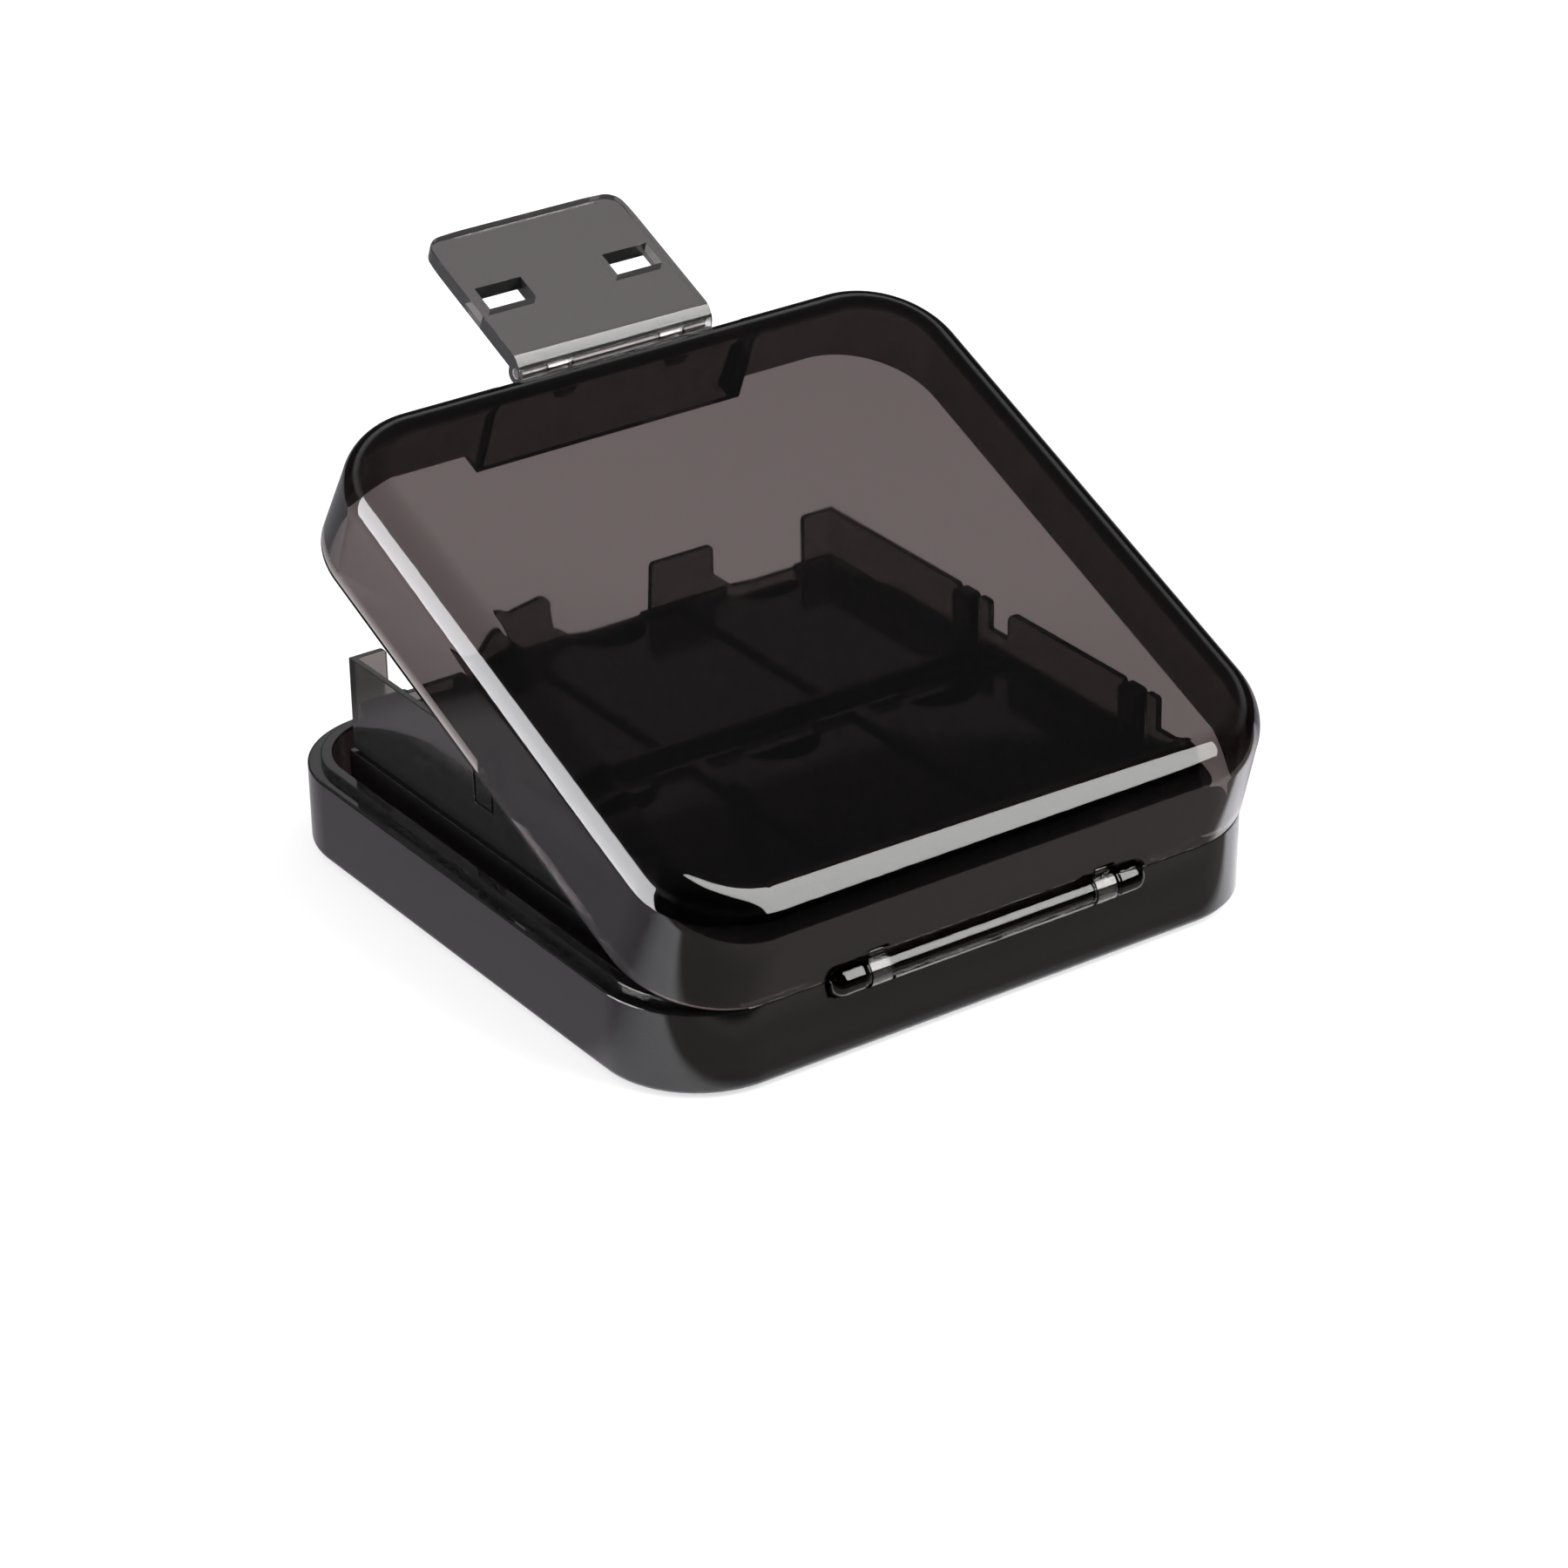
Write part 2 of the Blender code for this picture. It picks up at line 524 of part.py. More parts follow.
def make_latch(material, swing):
    """Barrel round the pivot, a round bend up and out, and a flat plate with two slots."""
    pivot = (LATCH_PIVOT.y, LATCH_PIVOT.z)
    bend = (pivot[0] - LATCH_BARREL_RADIUS + LATCH_BEND_RADIUS, PLATE_TOP - LATCH_BEND_RADIUS)
    outline = arc(pivot, LATCH_BARREL_RADIUS, math.pi, math.tau, 8)
    outline += [
        (pivot[0] + LATCH_BARREL_RADIUS, PLATE_UNDER), (PLATE_END, PLATE_UNDER), (PLATE_END, PLATE_TOP)]
    outline += arc(bend, LATCH_BEND_RADIUS, math.pi / 2, math.pi, 8)
    half = LATCH_WIDTH / 2
    flap = prism("latch_flap", outline, "X", (-half, half), PARTS)
    bm = bmesh.new()
    bm.from_mesh(flap.data)
    corners = [
        e for e in bm.edges
        if all(abs(v.co.y - PLATE_END) < 0.00001 for v in e.verts)
        and e.verts[0].co.x * e.verts[1].co.x > 0
        and abs(e.verts[0].co.z - e.verts[1].co.z) > LATCH_THICKNESS / 2]
    round_edges(bm, corners, LATCH_CORNER_RADIUS, EDGE_SEGMENTS)
    bm.to_mesh(flap.data)
    bm.free()

    tools = []
    slot_near = LATCH_PIVOT.y + LATCH_PIVOT.z - SLOT_TOP
    for side in (-1, 1):
        centre = side * SLOT_SPACING / 2
        slot = block(
            f"slot_{side + 1}", (centre - SLOT_WIDTH / 2, centre + SLOT_WIDTH / 2),
            (slot_near, slot_near + SLOT_HEIGHT), (PLATE_UNDER - ABOVE, PLATE_TOP + ABOVE))
        centre = side * LUG_SPACING / 2
        reach = LUG_WIDTH / 2 + LUG_CLEARANCE
        lug_room = drum(
            f"lug_room_{side + 1}", LATCH_PIVOT, (centre - reach, centre + reach),
            LUG_RADIUS + LUG_CLEARANCE)
        lug_path = block(
            f"lug_path_{side + 1}", (centre - reach, centre + reach),
            (LATCH_PIVOT.y - ABOVE, LATCH_PIVOT.y + LATCH_BARREL_RADIUS + LUG_CLEARANCE),
            (LATCH_PIVOT.z - ABOVE, LATCH_PIVOT.z))
        cut(flap, slot, lug_path, lug_room)
        tools += [slot, lug_path, lug_room]
    bore_half = half - LATCH_PIN_END_COVER
    bore = drum(
        "latch_bore", LATCH_PIVOT, (-bore_half, half + ABOVE), LATCH_PIN_RADIUS + LATCH_PIN_CLEARANCE)
    grip = block(
        "grip_step", (-GRIP_LENGTH / 2, GRIP_LENGTH / 2),
        (PLATE_END - GRIP_EDGE - GRIP_WIDTH, PLATE_END - GRIP_EDGE),
        (PLATE_TOP - GRIP_DEPTH, PLATE_TOP + ABOVE))
    cut(flap, bore, grip)
    carry(swing, LATCH_PIVOT, flap, bore, grip, *tools)
    finish(flap, material)


def make_latch_pin(material, swing):
    half = LATCH_WIDTH / 2 - LATCH_PIN_END_COVER - PIN_CLEARANCE
    pin = drum("latch_pin", LATCH_PIVOT, (-half, half), LATCH_PIN_RADIUS, PARTS)
    carry(swing, LATCH_PIVOT, pin)
    finish(pin, material)


def make_lower_rack(material):
    rack = block(
        "lower_rack", (-LOWER_RACK_HALF_WIDTH, LOWER_RACK_HALF_WIDTH),
        (-LOWER_RACK_HALF_DEPTH, LOWER_RACK_HALF_DEPTH), (LOWER_RACK_BOTTOM, LOWER_RACK_TOP), PARTS)
    cut(rack, *rack_pockets("lower", LOWER_RACK_BOTTOM + RACK_FLOOR, LOWER_RACK_TOP + ABOVE))
    finish(rack, material)


def far_gap(name, left, right, foot=0.0, right_round=POST_TOP_RADIUS):
    """A gap in the far wall, flared to round the posts; the post on its left may have a foot."""
    top = UPPER_RACK_TOP
    outline = [(left - POST_TOP_RADIUS, top + ABOVE)]
    outline += arc((left - POST_TOP_RADIUS, top - POST_TOP_RADIUS), POST_TOP_RADIUS, math.pi / 2, 0, 3)
    if foot:
        outline.append((left, FAR_GAP_FLOOR + foot))
    outline += [(left + foot, FAR_GAP_FLOOR), (right, FAR_GAP_FLOOR)]
    outline += arc((right + right_round, top - right_round), right_round, math.pi, math.pi / 2, 4)
    outline.append((right + right_round, top + ABOVE))
    return prism(name, outline, "Y", (RACK_FAR - 2 * RACK_WALL, RACK_FAR + ABOVE))


def make_upper_rack(material):
    rack = block(
        "upper_rack", (-RACK_HALF_WIDTH, RACK_HALF_WIDTH), (RACK_NEAR, RACK_FAR),
        (UPPER_RACK_BOTTOM, UPPER_RACK_TOP), PARTS)
    inner_x = RACK_HALF_WIDTH - RACK_WALL
    inner = block(
        "rack_inside", (-inner_x, inner_x), (RACK_NEAR + RACK_WALL, FAR_ROW_FAR),
        (POCKET_TOP, UPPER_RACK_TOP + ABOVE))
    cut(rack, inner, *rack_pockets("upper", UPPER_RACK_BOTTOM + RACK_FLOOR, UPPER_RACK_TOP + ABOVE))
    post = FAR_POST_WIDTH / 2
    centre = FAR_POST_SPACING / 2
    corner = RACK_HALF_WIDTH - FAR_CORNER_POST
    cut(rack, far_gap("far_gap_0", -corner, -centre - post, right_round=FAR_POST_ROUND))
    cut(rack, far_gap("far_gap_1", -centre + post, centre - post, foot=FAR_POST_FOOT))
    cut(rack, far_gap("far_gap_2", centre + post, corner, foot=FAR_POST_FOOT))
    dip_centre = (-centre, 0, UPPER_RACK_TOP + FAR_POST_DIP_RADIUS - FAR_POST_DIP_DEPTH)
    cut(rack, drum(
        "far_post_dip", dip_centre, (FAR_ROW_FAR - RACK_WALL, RACK_FAR + RACK_WALL), FAR_POST_DIP_RADIUS,
        axis="Y"))
    wide = RACK_HALF_WIDTH + ABOVE
    near_top = block(
        "near_wall_top", (-wide, wide), (RACK_NEAR - ABOVE, SIDE_GAP_FAR - EAR_PITCH),
        (UPPER_RACK_TOP - NEAR_WALL_DROP, UPPER_RACK_TOP + ABOVE))
    top = UPPER_RACK_TOP
    gap_near = SIDE_GAP_FAR - SIDE_GAP_WIDTH
    outline = [
        (SIDE_GAP_FAR, top + ABOVE), (SIDE_GAP_FAR, top - SIDE_GAP_DROP), (gap_near, top - SIDE_GAP_DROP)]
    outline += arc((gap_near - SIDE_GAP_ROUND, top - SIDE_GAP_ROUND), SIDE_GAP_ROUND, 0, math.pi / 2, 4)
    outline += [(gap_near - SIDE_GAP_ROUND, top + ABOVE)]
    side_gap = prism("side_gap", outline, "X", (-wide, wide))
    cut(rack, near_top, side_gap)
    for row in range(2):
        near = EAR_NEAR - row * EAR_PITCH
        ear_slot = block(
            f"ear_slot_{row}", (-wide, wide), (near - EAR_CLEARANCE, near + EAR_LENGTH + EAR_CLEARANCE),
            (POCKET_TOP, UPPER_RACK_TOP + ABOVE))
        cut(rack, ear_slot)
    finish(rack, material)


def make_tray(name, row, material):
    """A shallow card tray; an ear at each end stands up in the upper rack's side wall."""
    far = FAR_ROW_FAR - row * ROW_PITCH - TRAY_CLEARANCE
    near = far - POCKET_LENGTH + 2 * TRAY_CLEARANCE
    half = RACK_HALF_WIDTH - RACK_WALL - TRAY_CLEARANCE
    edge_top = TRAY_TOP + TRAY_EDGE_HEIGHT
    tray = block(name, (-half, half), (near, far), (TRAY_BOTTOM, edge_top), PARTS)
    for column in (-1, 0, 1):
        centre = column * COLUMN_PITCH
        reach = POCKET_WIDTH / 2 - TRAY_CLEARANCE - DIVIDER / 2
        bed = block(
            f"{name}_bed_{column + 1}", (centre - reach, centre + reach),
            (near + DIVIDER, far - DIVIDER), (TRAY_TOP, edge_top + ABOVE))
        scoop = drum(
            f"{name}_scoop_{column + 1}", (centre, far, 0), (TRAY_BOTTOM - ABOVE, edge_top + ABOVE),
            FINGER_SCOOP_RADIUS, axis="Z")
        cut(tray, bed, scoop)
    ear_near = EAR_NEAR - row * EAR_PITCH
    r = EAR_TOP_RADIUS
    outline = [(ear_near, TRAY_BOTTOM), (ear_near + EAR_LENGTH, TRAY_BOTTOM)]
    outline += arc((ear_near + EAR_LENGTH - r, UPPER_RACK_TOP - r), r, 0, math.pi / 2, 3)
    outline += arc((ear_near + r, UPPER_RACK_TOP - r), r, math.pi / 2, math.pi, 3)
    for side in (-1, 1):
        xs = sorted((side * (half - RACK_WALL), side * RACK_HALF_WIDTH))
        add(tray, prism(f"{name}_ear_{side + 1}", outline, "X", xs))
    finish(tray, material)


def main():
    smoke = plastic("smoky_clear_plastic", SMOKE, 0.08)
    rack_smoke = plastic("smoky_rack_plastic", SMOKE_DARK, 0.2)
    steel = plastic("bright_steel", STEEL, 0.25, 1.0)
    axle_smoke = plastic("smoky_axle_plastic", SMOKE_DARK, 0.12)
    lid_hinge = make_empty("lid_hinge", None, HINGE_AXIS, LID_REST_ANGLE)
    latch_swing = make_empty("latch_swing", lid_hinge, LATCH_PIVOT - HINGE_AXIS, 0)
    make_base(smoke)
    make_pin(axle_smoke)
    make_lid(smoke, lid_hinge)
    make_latch(smoke, latch_swing)
    make_latch_pin(steel, latch_swing)
    make_lower_rack(rack_smoke)
    make_upper_rack(rack_smoke)
    make_tray("far_card_tray", 0, rack_smoke)
    make_tray("near_card_tray", 1, rack_smoke)


main()
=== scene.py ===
# Game card case: the finished shells, latch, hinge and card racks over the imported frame.
import math

import bmesh
import bpy
from mathutils import Matrix, Vector


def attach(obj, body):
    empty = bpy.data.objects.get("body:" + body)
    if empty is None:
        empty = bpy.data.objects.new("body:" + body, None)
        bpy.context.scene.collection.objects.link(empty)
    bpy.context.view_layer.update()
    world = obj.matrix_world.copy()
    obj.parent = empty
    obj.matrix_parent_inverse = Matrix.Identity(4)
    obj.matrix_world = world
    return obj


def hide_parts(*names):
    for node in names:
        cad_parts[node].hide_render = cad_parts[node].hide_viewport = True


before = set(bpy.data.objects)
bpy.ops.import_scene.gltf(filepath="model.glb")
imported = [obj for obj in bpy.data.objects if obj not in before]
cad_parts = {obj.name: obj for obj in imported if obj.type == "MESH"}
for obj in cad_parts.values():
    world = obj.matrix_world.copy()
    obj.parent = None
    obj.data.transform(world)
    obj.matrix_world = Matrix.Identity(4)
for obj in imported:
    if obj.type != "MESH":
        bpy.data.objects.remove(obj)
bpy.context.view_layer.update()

mm = 0.001
hair = 1e-6  # in metres; places closer than this count as level

# The whole case, in mm. The lid and the latch are drawn shut and then turned to rest.
case = {"width": 82.0, "corner": 12.0, "baseHeight": 10.0, "height": 23.6, "gap": 0.15, "lidAngle": 23.03,
        "hingeDrop": 0.66, "latchDrop": 2.3}
half = case["width"] / 2
hingePlace = (-half, case["baseHeight"] - case["hingeDrop"])  # y, z of the lid's axis
latchPlace = (half, case["height"] - case["latchDrop"])  # y, z of the latch's axis, lid shut
spare = 5.0  # how far a cutter runs past what it cuts
over = 1.0  # the same, where there is less room
weld = 0.004  # points closer than this become one

pieceCollection = bpy.data.collections.new("dressedCase")
bpy.context.scene.collection.children.link(pieceCollection)


# Mesh helpers. Every size they take is in mm.

def startCube(xs, ys, zs):
    bm = bmesh.new()
    middle = Matrix.Translation((sum(xs) / 2 * mm, sum(ys) / 2 * mm, sum(zs) / 2 * mm))
    size = Matrix.Diagonal(((xs[1] - xs[0]) * mm, (ys[1] - ys[0]) * mm, (zs[1] - zs[0]) * mm, 1))
    bmesh.ops.create_cube(bm, size=1, matrix=middle @ size)
    return bm


def bevelEdges(bm, edges, width, steps):
    bmesh.ops.bevel(bm, geom=edges, offset=width * mm, offset_type="OFFSET", affect="EDGES",
                    segments=steps, profile=0.5, material=-1)


def levelEdges(bm, height):
    return [e for e in bm.edges if all(abs(v.co.z - height * mm) < hair for v in e.verts)]


def shellBlock(inset, bottom, top, draft=0.0, topRound=0.0, footRound=0.0, steps=12):
    # a square block with round corners, inset from the case's outline
    size = half - inset
    bm = startCube((-size, size), (-size, size), (bottom, top))
    upright = [e for e in bm.edges if abs(e.verts[0].co.z - e.verts[1].co.z) > hair]
    bevelEdges(bm, upright, case["corner"] - inset, 2 * steps)
    for v in bm.verts:
        lean = 1 - draft * (v.co.z / mm - case["baseHeight"]) / size
        v.co.x *= lean
        v.co.y *= lean
    if topRound:
        bevelEdges(bm, levelEdges(bm, top), topRound, steps if topRound > 1 else 4)
    if footRound:
        bevelEdges(bm, levelEdges(bm, bottom), footRound, max(3, steps // 3))
    return bm


def roundBar(xs, place, radius, steps=48, domed=0.0):
    # a round bar along X; domed ends are bevelled by that much
    bm = bmesh.new()
    middle = Matrix.Translation((sum(xs) / 2 * mm, place[0] * mm, place[1] * mm))
    bmesh.ops.create_cone(bm, cap_ends=True, segments=steps, radius1=radius * mm, radius2=radius * mm,
                          depth=(xs[1] - xs[0]) * mm, matrix=middle @ Matrix.Rotation(math.pi / 2, 4, "Y"))
    if domed:
        ends = [e for e in bm.edges if abs(e.verts[0].co.x - e.verts[1].co.x) < hair]
        bevelEdges(bm, ends, domed, 8)
    return bm


def standingDrum(place, zs, radius, steps=32):
    bm = bmesh.new()
    middle = Matrix.Translation((place[0] * mm, place[1] * mm, sum(zs) / 2 * mm))
    bmesh.ops.create_cone(bm, cap_ends=True, segments=steps, radius1=radius * mm, radius2=radius * mm,
                          depth=(zs[1] - zs[0]) * mm, matrix=middle)
    return bm


def pushOutline(points, axis, span):
    # a flat outline pushed along X or Y; its points are (y, z) or (x, z)
    bm = bmesh.new()
    if axis == "X":
        verts = [bm.verts.new((span[0] * mm, a * mm, b * mm)) for a, b in points]
        push = ((span[1] - span[0]) * mm, 0, 0)
    else:
        verts = [bm.verts.new((a * mm, span[0] * mm, b * mm)) for a, b in points]
        push = (0, (span[1] - span[0]) * mm, 0)
    face = bm.faces.new(verts)
    moved = bmesh.ops.extrude_face_region(bm, geom=[face])["geom"]
    bmesh.ops.translate(bm, vec=push, verts=[v for v in moved if isinstance(v, bmesh.types.BMVert)])
    bmesh.ops.recalc_face_normals(bm, faces=bm.faces)
    return bm


def arc(centre, radius, start, end, steps):
    # points round a centre, angles in degrees
    turns = [math.radians(start + (end - start) * i / steps) for i in range(steps + 1)]
    return [(centre[0] + radius * math.cos(t), centre[1] + radius * math.sin(t)) for t in turns]


def settleOrder(bm):
    # a bevel leaves its faces in any order; sorted by place, they give the same mesh each run, but for rounding
    spread = Vector((1, math.sqrt(2), math.sqrt(3)))
    bm.verts.sort(key=lambda v: spread.dot(v.co))
    bm.edges.sort(key=lambda e: spread.dot(e.verts[0].co + e.verts[1].co))
    bm.faces.sort(key=lambda f: spread.dot(f.calc_center_median()))


def makeObject(name, bm):
    settleOrder(bm)
    mesh = bpy.data.meshes.new(name)
    bm.to_mesh(mesh)
    bm.free()
    obj = bpy.data.objects.new(name, mesh)
    pieceCollection.objects.link(obj)
    return obj


def bakeModifiers(obj):
    bpy.context.view_layer.update()
    baked = bpy.data.meshes.new_from_object(obj.evaluated_get(bpy.context.evaluated_depsgraph_get()))
    obj.modifiers.clear()
    obj.data = baked


def shapeWith(obj, *steps):
    # cut or join other shapes, in the order given
    tools = []
    for i, (operation, bm) in enumerate(steps):
        tool = makeObject(f"{obj.name}_tool_{i}", bm)
        change = obj.modifiers.new(tool.name, "BOOLEAN")
        change.operation = operation
        change.object = tool
        change.solver = "EXACT"
        tools.append(tool)
    bakeModifiers(obj)
    for tool in tools:
        bpy.data.objects.remove(tool, do_unlink=True)


# How edges are rounded: the angle that counts as flat, how many widths long an edge must be, and the shading
softening = {"flat": 0.2, "sharpRoom": 0.9, "plainRoom": 1.6, "fineWeld": 8, "shadePast": 8, "evenWeight": 80}


def softenEdges(obj, width, steps=3, angle=32):
    # round each edge that has room for it; a crowded edge stays as cut
    bm = bmesh.new()
    bm.from_mesh(obj.data)
    bmesh.ops.remove_doubles(bm, verts=bm.verts, dist=weld * mm)
    bmesh.ops.dissolve_degenerate(bm, edges=bm.edges, dist=weld * mm)
    bmesh.ops.dissolve_limit(bm, angle_limit=math.radians(softening["flat"]), verts=bm.verts, edges=bm.edges)
    settleOrder(bm)
    sharp = {e for e in bm.edges if e.is_manifold and e.calc_face_angle() > math.radians(angle)}
    room = {e: softening["sharpRoom" if e in sharp else "plainRoom"] * width for e in bm.edges}
    crowded = {v for e in bm.edges if e.calc_length() / mm < room[e] for v in e.verts}
    roomy = [e for e in bm.edges if e in sharp and not crowded & set(e.verts)]
    bmesh.ops.bevel(bm, geom=roomy, offset=width * mm, offset_type="OFFSET", affect="EDGES", segments=steps,
                    profile=0.5, clamp_overlap=True, material=-1)
    fine = weld * mm / softening["fineWeld"]
    bmesh.ops.remove_doubles(bm, verts=bm.verts, dist=fine)
    bmesh.ops.dissolve_degenerate(bm, edges=bm.edges, dist=fine)
    bmesh.ops.delete(bm, geom=[e for e in bm.edges if e.is_wire], context="EDGES")
    bm.to_mesh(obj.data)
    bm.free()
    obj.data.shade_smooth()
    obj.data.set_sharp_from_angle(angle=math.radians(angle + softening["shadePast"]))
    even = obj.modifiers.new("even", "WEIGHTED_NORMAL")
    even.keep_sharp = True
    even.weight = softening["evenWeight"]
    bakeModifiers(obj)
    print("softened", obj.name, len(roomy), "of", len(sharp))


def turnWithLid(obj):
    pivot = Matrix.Translation((0, hingePlace[0] * mm, hingePlace[1] * mm))
    obj.data.transform(pivot @ Matrix.Rotation(math.radians(case["lidAngle"]), 4, "X") @ pivot.inverted())


def dress(obj, body, slot, material, *nodes):
    obj.data.materials.clear()
    obj.data.materials.append(material)
    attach(obj, body)
    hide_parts(*nodes)


# Finishes

def addNode(tree, kind, **sockets):
    node = tree.nodes.new(kind)
    for name, value in sockets.items():
        node.inputs[name.replace("_", " ")].default_value = value
    return node


def smokyPlastic(name, look):
    # clear moulded plastic whose colour comes from how far light runs inside it
    material = bpy.data.materials.new(name)
    material.use_nodes = True
    tree = material.node_tree
    link = tree.links.new
    shader = tree.nodes["Principled BSDF"]
    shader.inputs["Base Color"].default_value = (1, 1, 1, 1)
    shader.inputs["Transmission Weight"].default_value = look["clear"]
    shader.inputs["IOR"].default_value = look["ior"]
    place = addNode(tree, "ShaderNodeTexCoord")
    haze = addNode(tree, "ShaderNodeTexNoise", Scale=look["hazeScale"], Detail=3.0)
    link(place.outputs["Object"], haze.inputs["Vector"])
    spread = addNode(tree, "ShaderNodeMapRange", From_Min=look["hazeFrom"], From_Max=look["hazeTo"],
                     To_Min=look["roughness"][0], To_Max=look["roughness"][1])
    link(haze.outputs["Fac"], spread.inputs["Value"])
    link(spread.outputs["Result"], shader.inputs["Roughness"])
    flow = addNode(tree, "ShaderNodeTexNoise", Scale=look["flowScale"], Detail=2.0)
    link(place.outputs["Object"], flow.inputs["Vector"])
    bump = addNode(tree, "ShaderNodeBump", Strength=look["flowStrength"], Distance=look["flowDepth"] * mm)
    link(flow.outputs["Fac"], bump.inputs["Height"])
    link(bump.outputs["Normal"], shader.inputs["Normal"])
    inside = addNode(tree, "ShaderNodeVolumeAbsorption")
    inside.inputs["Color"].default_value = (*look["tint"], 1)
    inside.inputs["Density"].default_value = look["density"]
    link(inside.outputs["Volume"], tree.nodes["Material Output"].inputs["Volume"])
    return material


shellLook = {"ior": 1.47, "clear": 1.0, "roughness": (0.012, 0.05), "hazeScale": 60.0, "hazeFrom": 0.35,
             "hazeTo": 0.7, "flowScale": 35.0, "flowStrength": 0.12, "flowDepth": 0.05,
             "tint": (0.11, 0.03, 0.035), "density": 1560.0}
baseLook = {**shellLook, "clear": 0.997}
latchLook = {**shellLook, "clear": 0.98, "density": 1250.0, "tint": (0.09, 0.05, 0.06)}
rackLook = {**shellLook, "clear": 0.99, "roughness": (0.05, 0.14), "density": 2200.0,
            "tint": (0.1, 0.04, 0.03)}
axleLook = {**shellLook, "roughness": (0.015, 0.05), "density": 1200.0}
shellPlastic = smokyPlastic("smokyShellPlastic", shellLook)
basePlastic = smokyPlastic("smokyBasePlastic", baseLook)
latchPlastic = smokyPlastic("smokyLatchPlastic", latchLook)
rackPlastic = smokyPlastic("smokyRackPlastic", rackLook)
axlePlastic = smokyPlastic("smokyAxlePlastic", axleLook)


def steelWire(name, look):
    material = bpy.data.materials.new(name)
    material.use_nodes = True
    tree = material.node_tree
    shader = tree.nodes["Principled BSDF"]
    shader.inputs["Base Color"].default_value = (*look["colour"], 1)
    shader.inputs["Metallic"].default_value = 1.0
    place = addNode(tree, "ShaderNodeTexCoord")
    stretch = addNode(tree, "ShaderNodeMapping")
    stretch.inputs["Scale"].default_value = look["drawnScale"]
    lines = addNode(tree, "ShaderNodeTexNoise", Scale=1.0, Detail=4.0)
    spread = addNode(tree, "ShaderNodeMapRange", To_Min=look["roughness"][0], To_Max=look["roughness"][1])
    tree.links.new(place.outputs["Object"], stretch.inputs["Vector"])
    tree.links.new(stretch.outputs["Vector"], lines.inputs["Vector"])
    tree.links.new(lines.outputs["Fac"], spread.inputs["Value"])
    tree.links.new(spread.outputs["Result"], shader.inputs["Roughness"])
    return material


pinLook = {"colour": (0.35, 0.34, 0.34), "drawnScale": (200, 6000, 6000), "roughness": (0.2, 0.4)}
pinSteel = steelWire("drawnSteel", pinLook)


# Base shell with its lip, the cradle for the axle and the catch

base = {"wall": 2.8, "floor": 1.6, "foot": 0.9, "lipInset": 1.5, "lipHeight": 0.9, "rimRound": 0.3,
        "lipRound": 0.25, "edge": 0.12}
axle = {"radius": 1.4, "capRadius": 1.75, "half": 21.0, "play": 0.12, "cradleHalf": 13.4, "ringWall": 0.3,
        "ringLength": 3.1, "gap": 0.25, "groove": 0.12, "grooveAt": (0.5, 0.4, 0.15), "dome": 0.98,
        "edge": 0.08}
cradle = {"backAngle": 60, "frontAngle": 202, "gapWidth": 1.6, "gapFoot": 0.5, "gapDrop": 0.35}
pocket = {"radius": 2.7, "wall": 1.0}
recess = {"width": 33.2, "depth": 2.2, "play": 0.3}
catch = {"spacing": 17.1, "width": 5.5, "top": 1.3, "height": 1.4, "reach": 1.2, "tongue": 1.7}
lid = {"wall": 1.25, "top": 1.4, "draft": 0.05, "topRound": 4.4, "innerRound": 4.2, "leadIn": 0.8,
       "leadInFoot": 0.5, "leadInSlope": 1.0, "steps": 16, "edge": 0.14, "webDepth": 1.8, "mouth": 1.9}


def capsuleBar(reach, radius):
    return roundBar((-reach, reach), hingePlace, radius, domed=radius * axle["dome"])


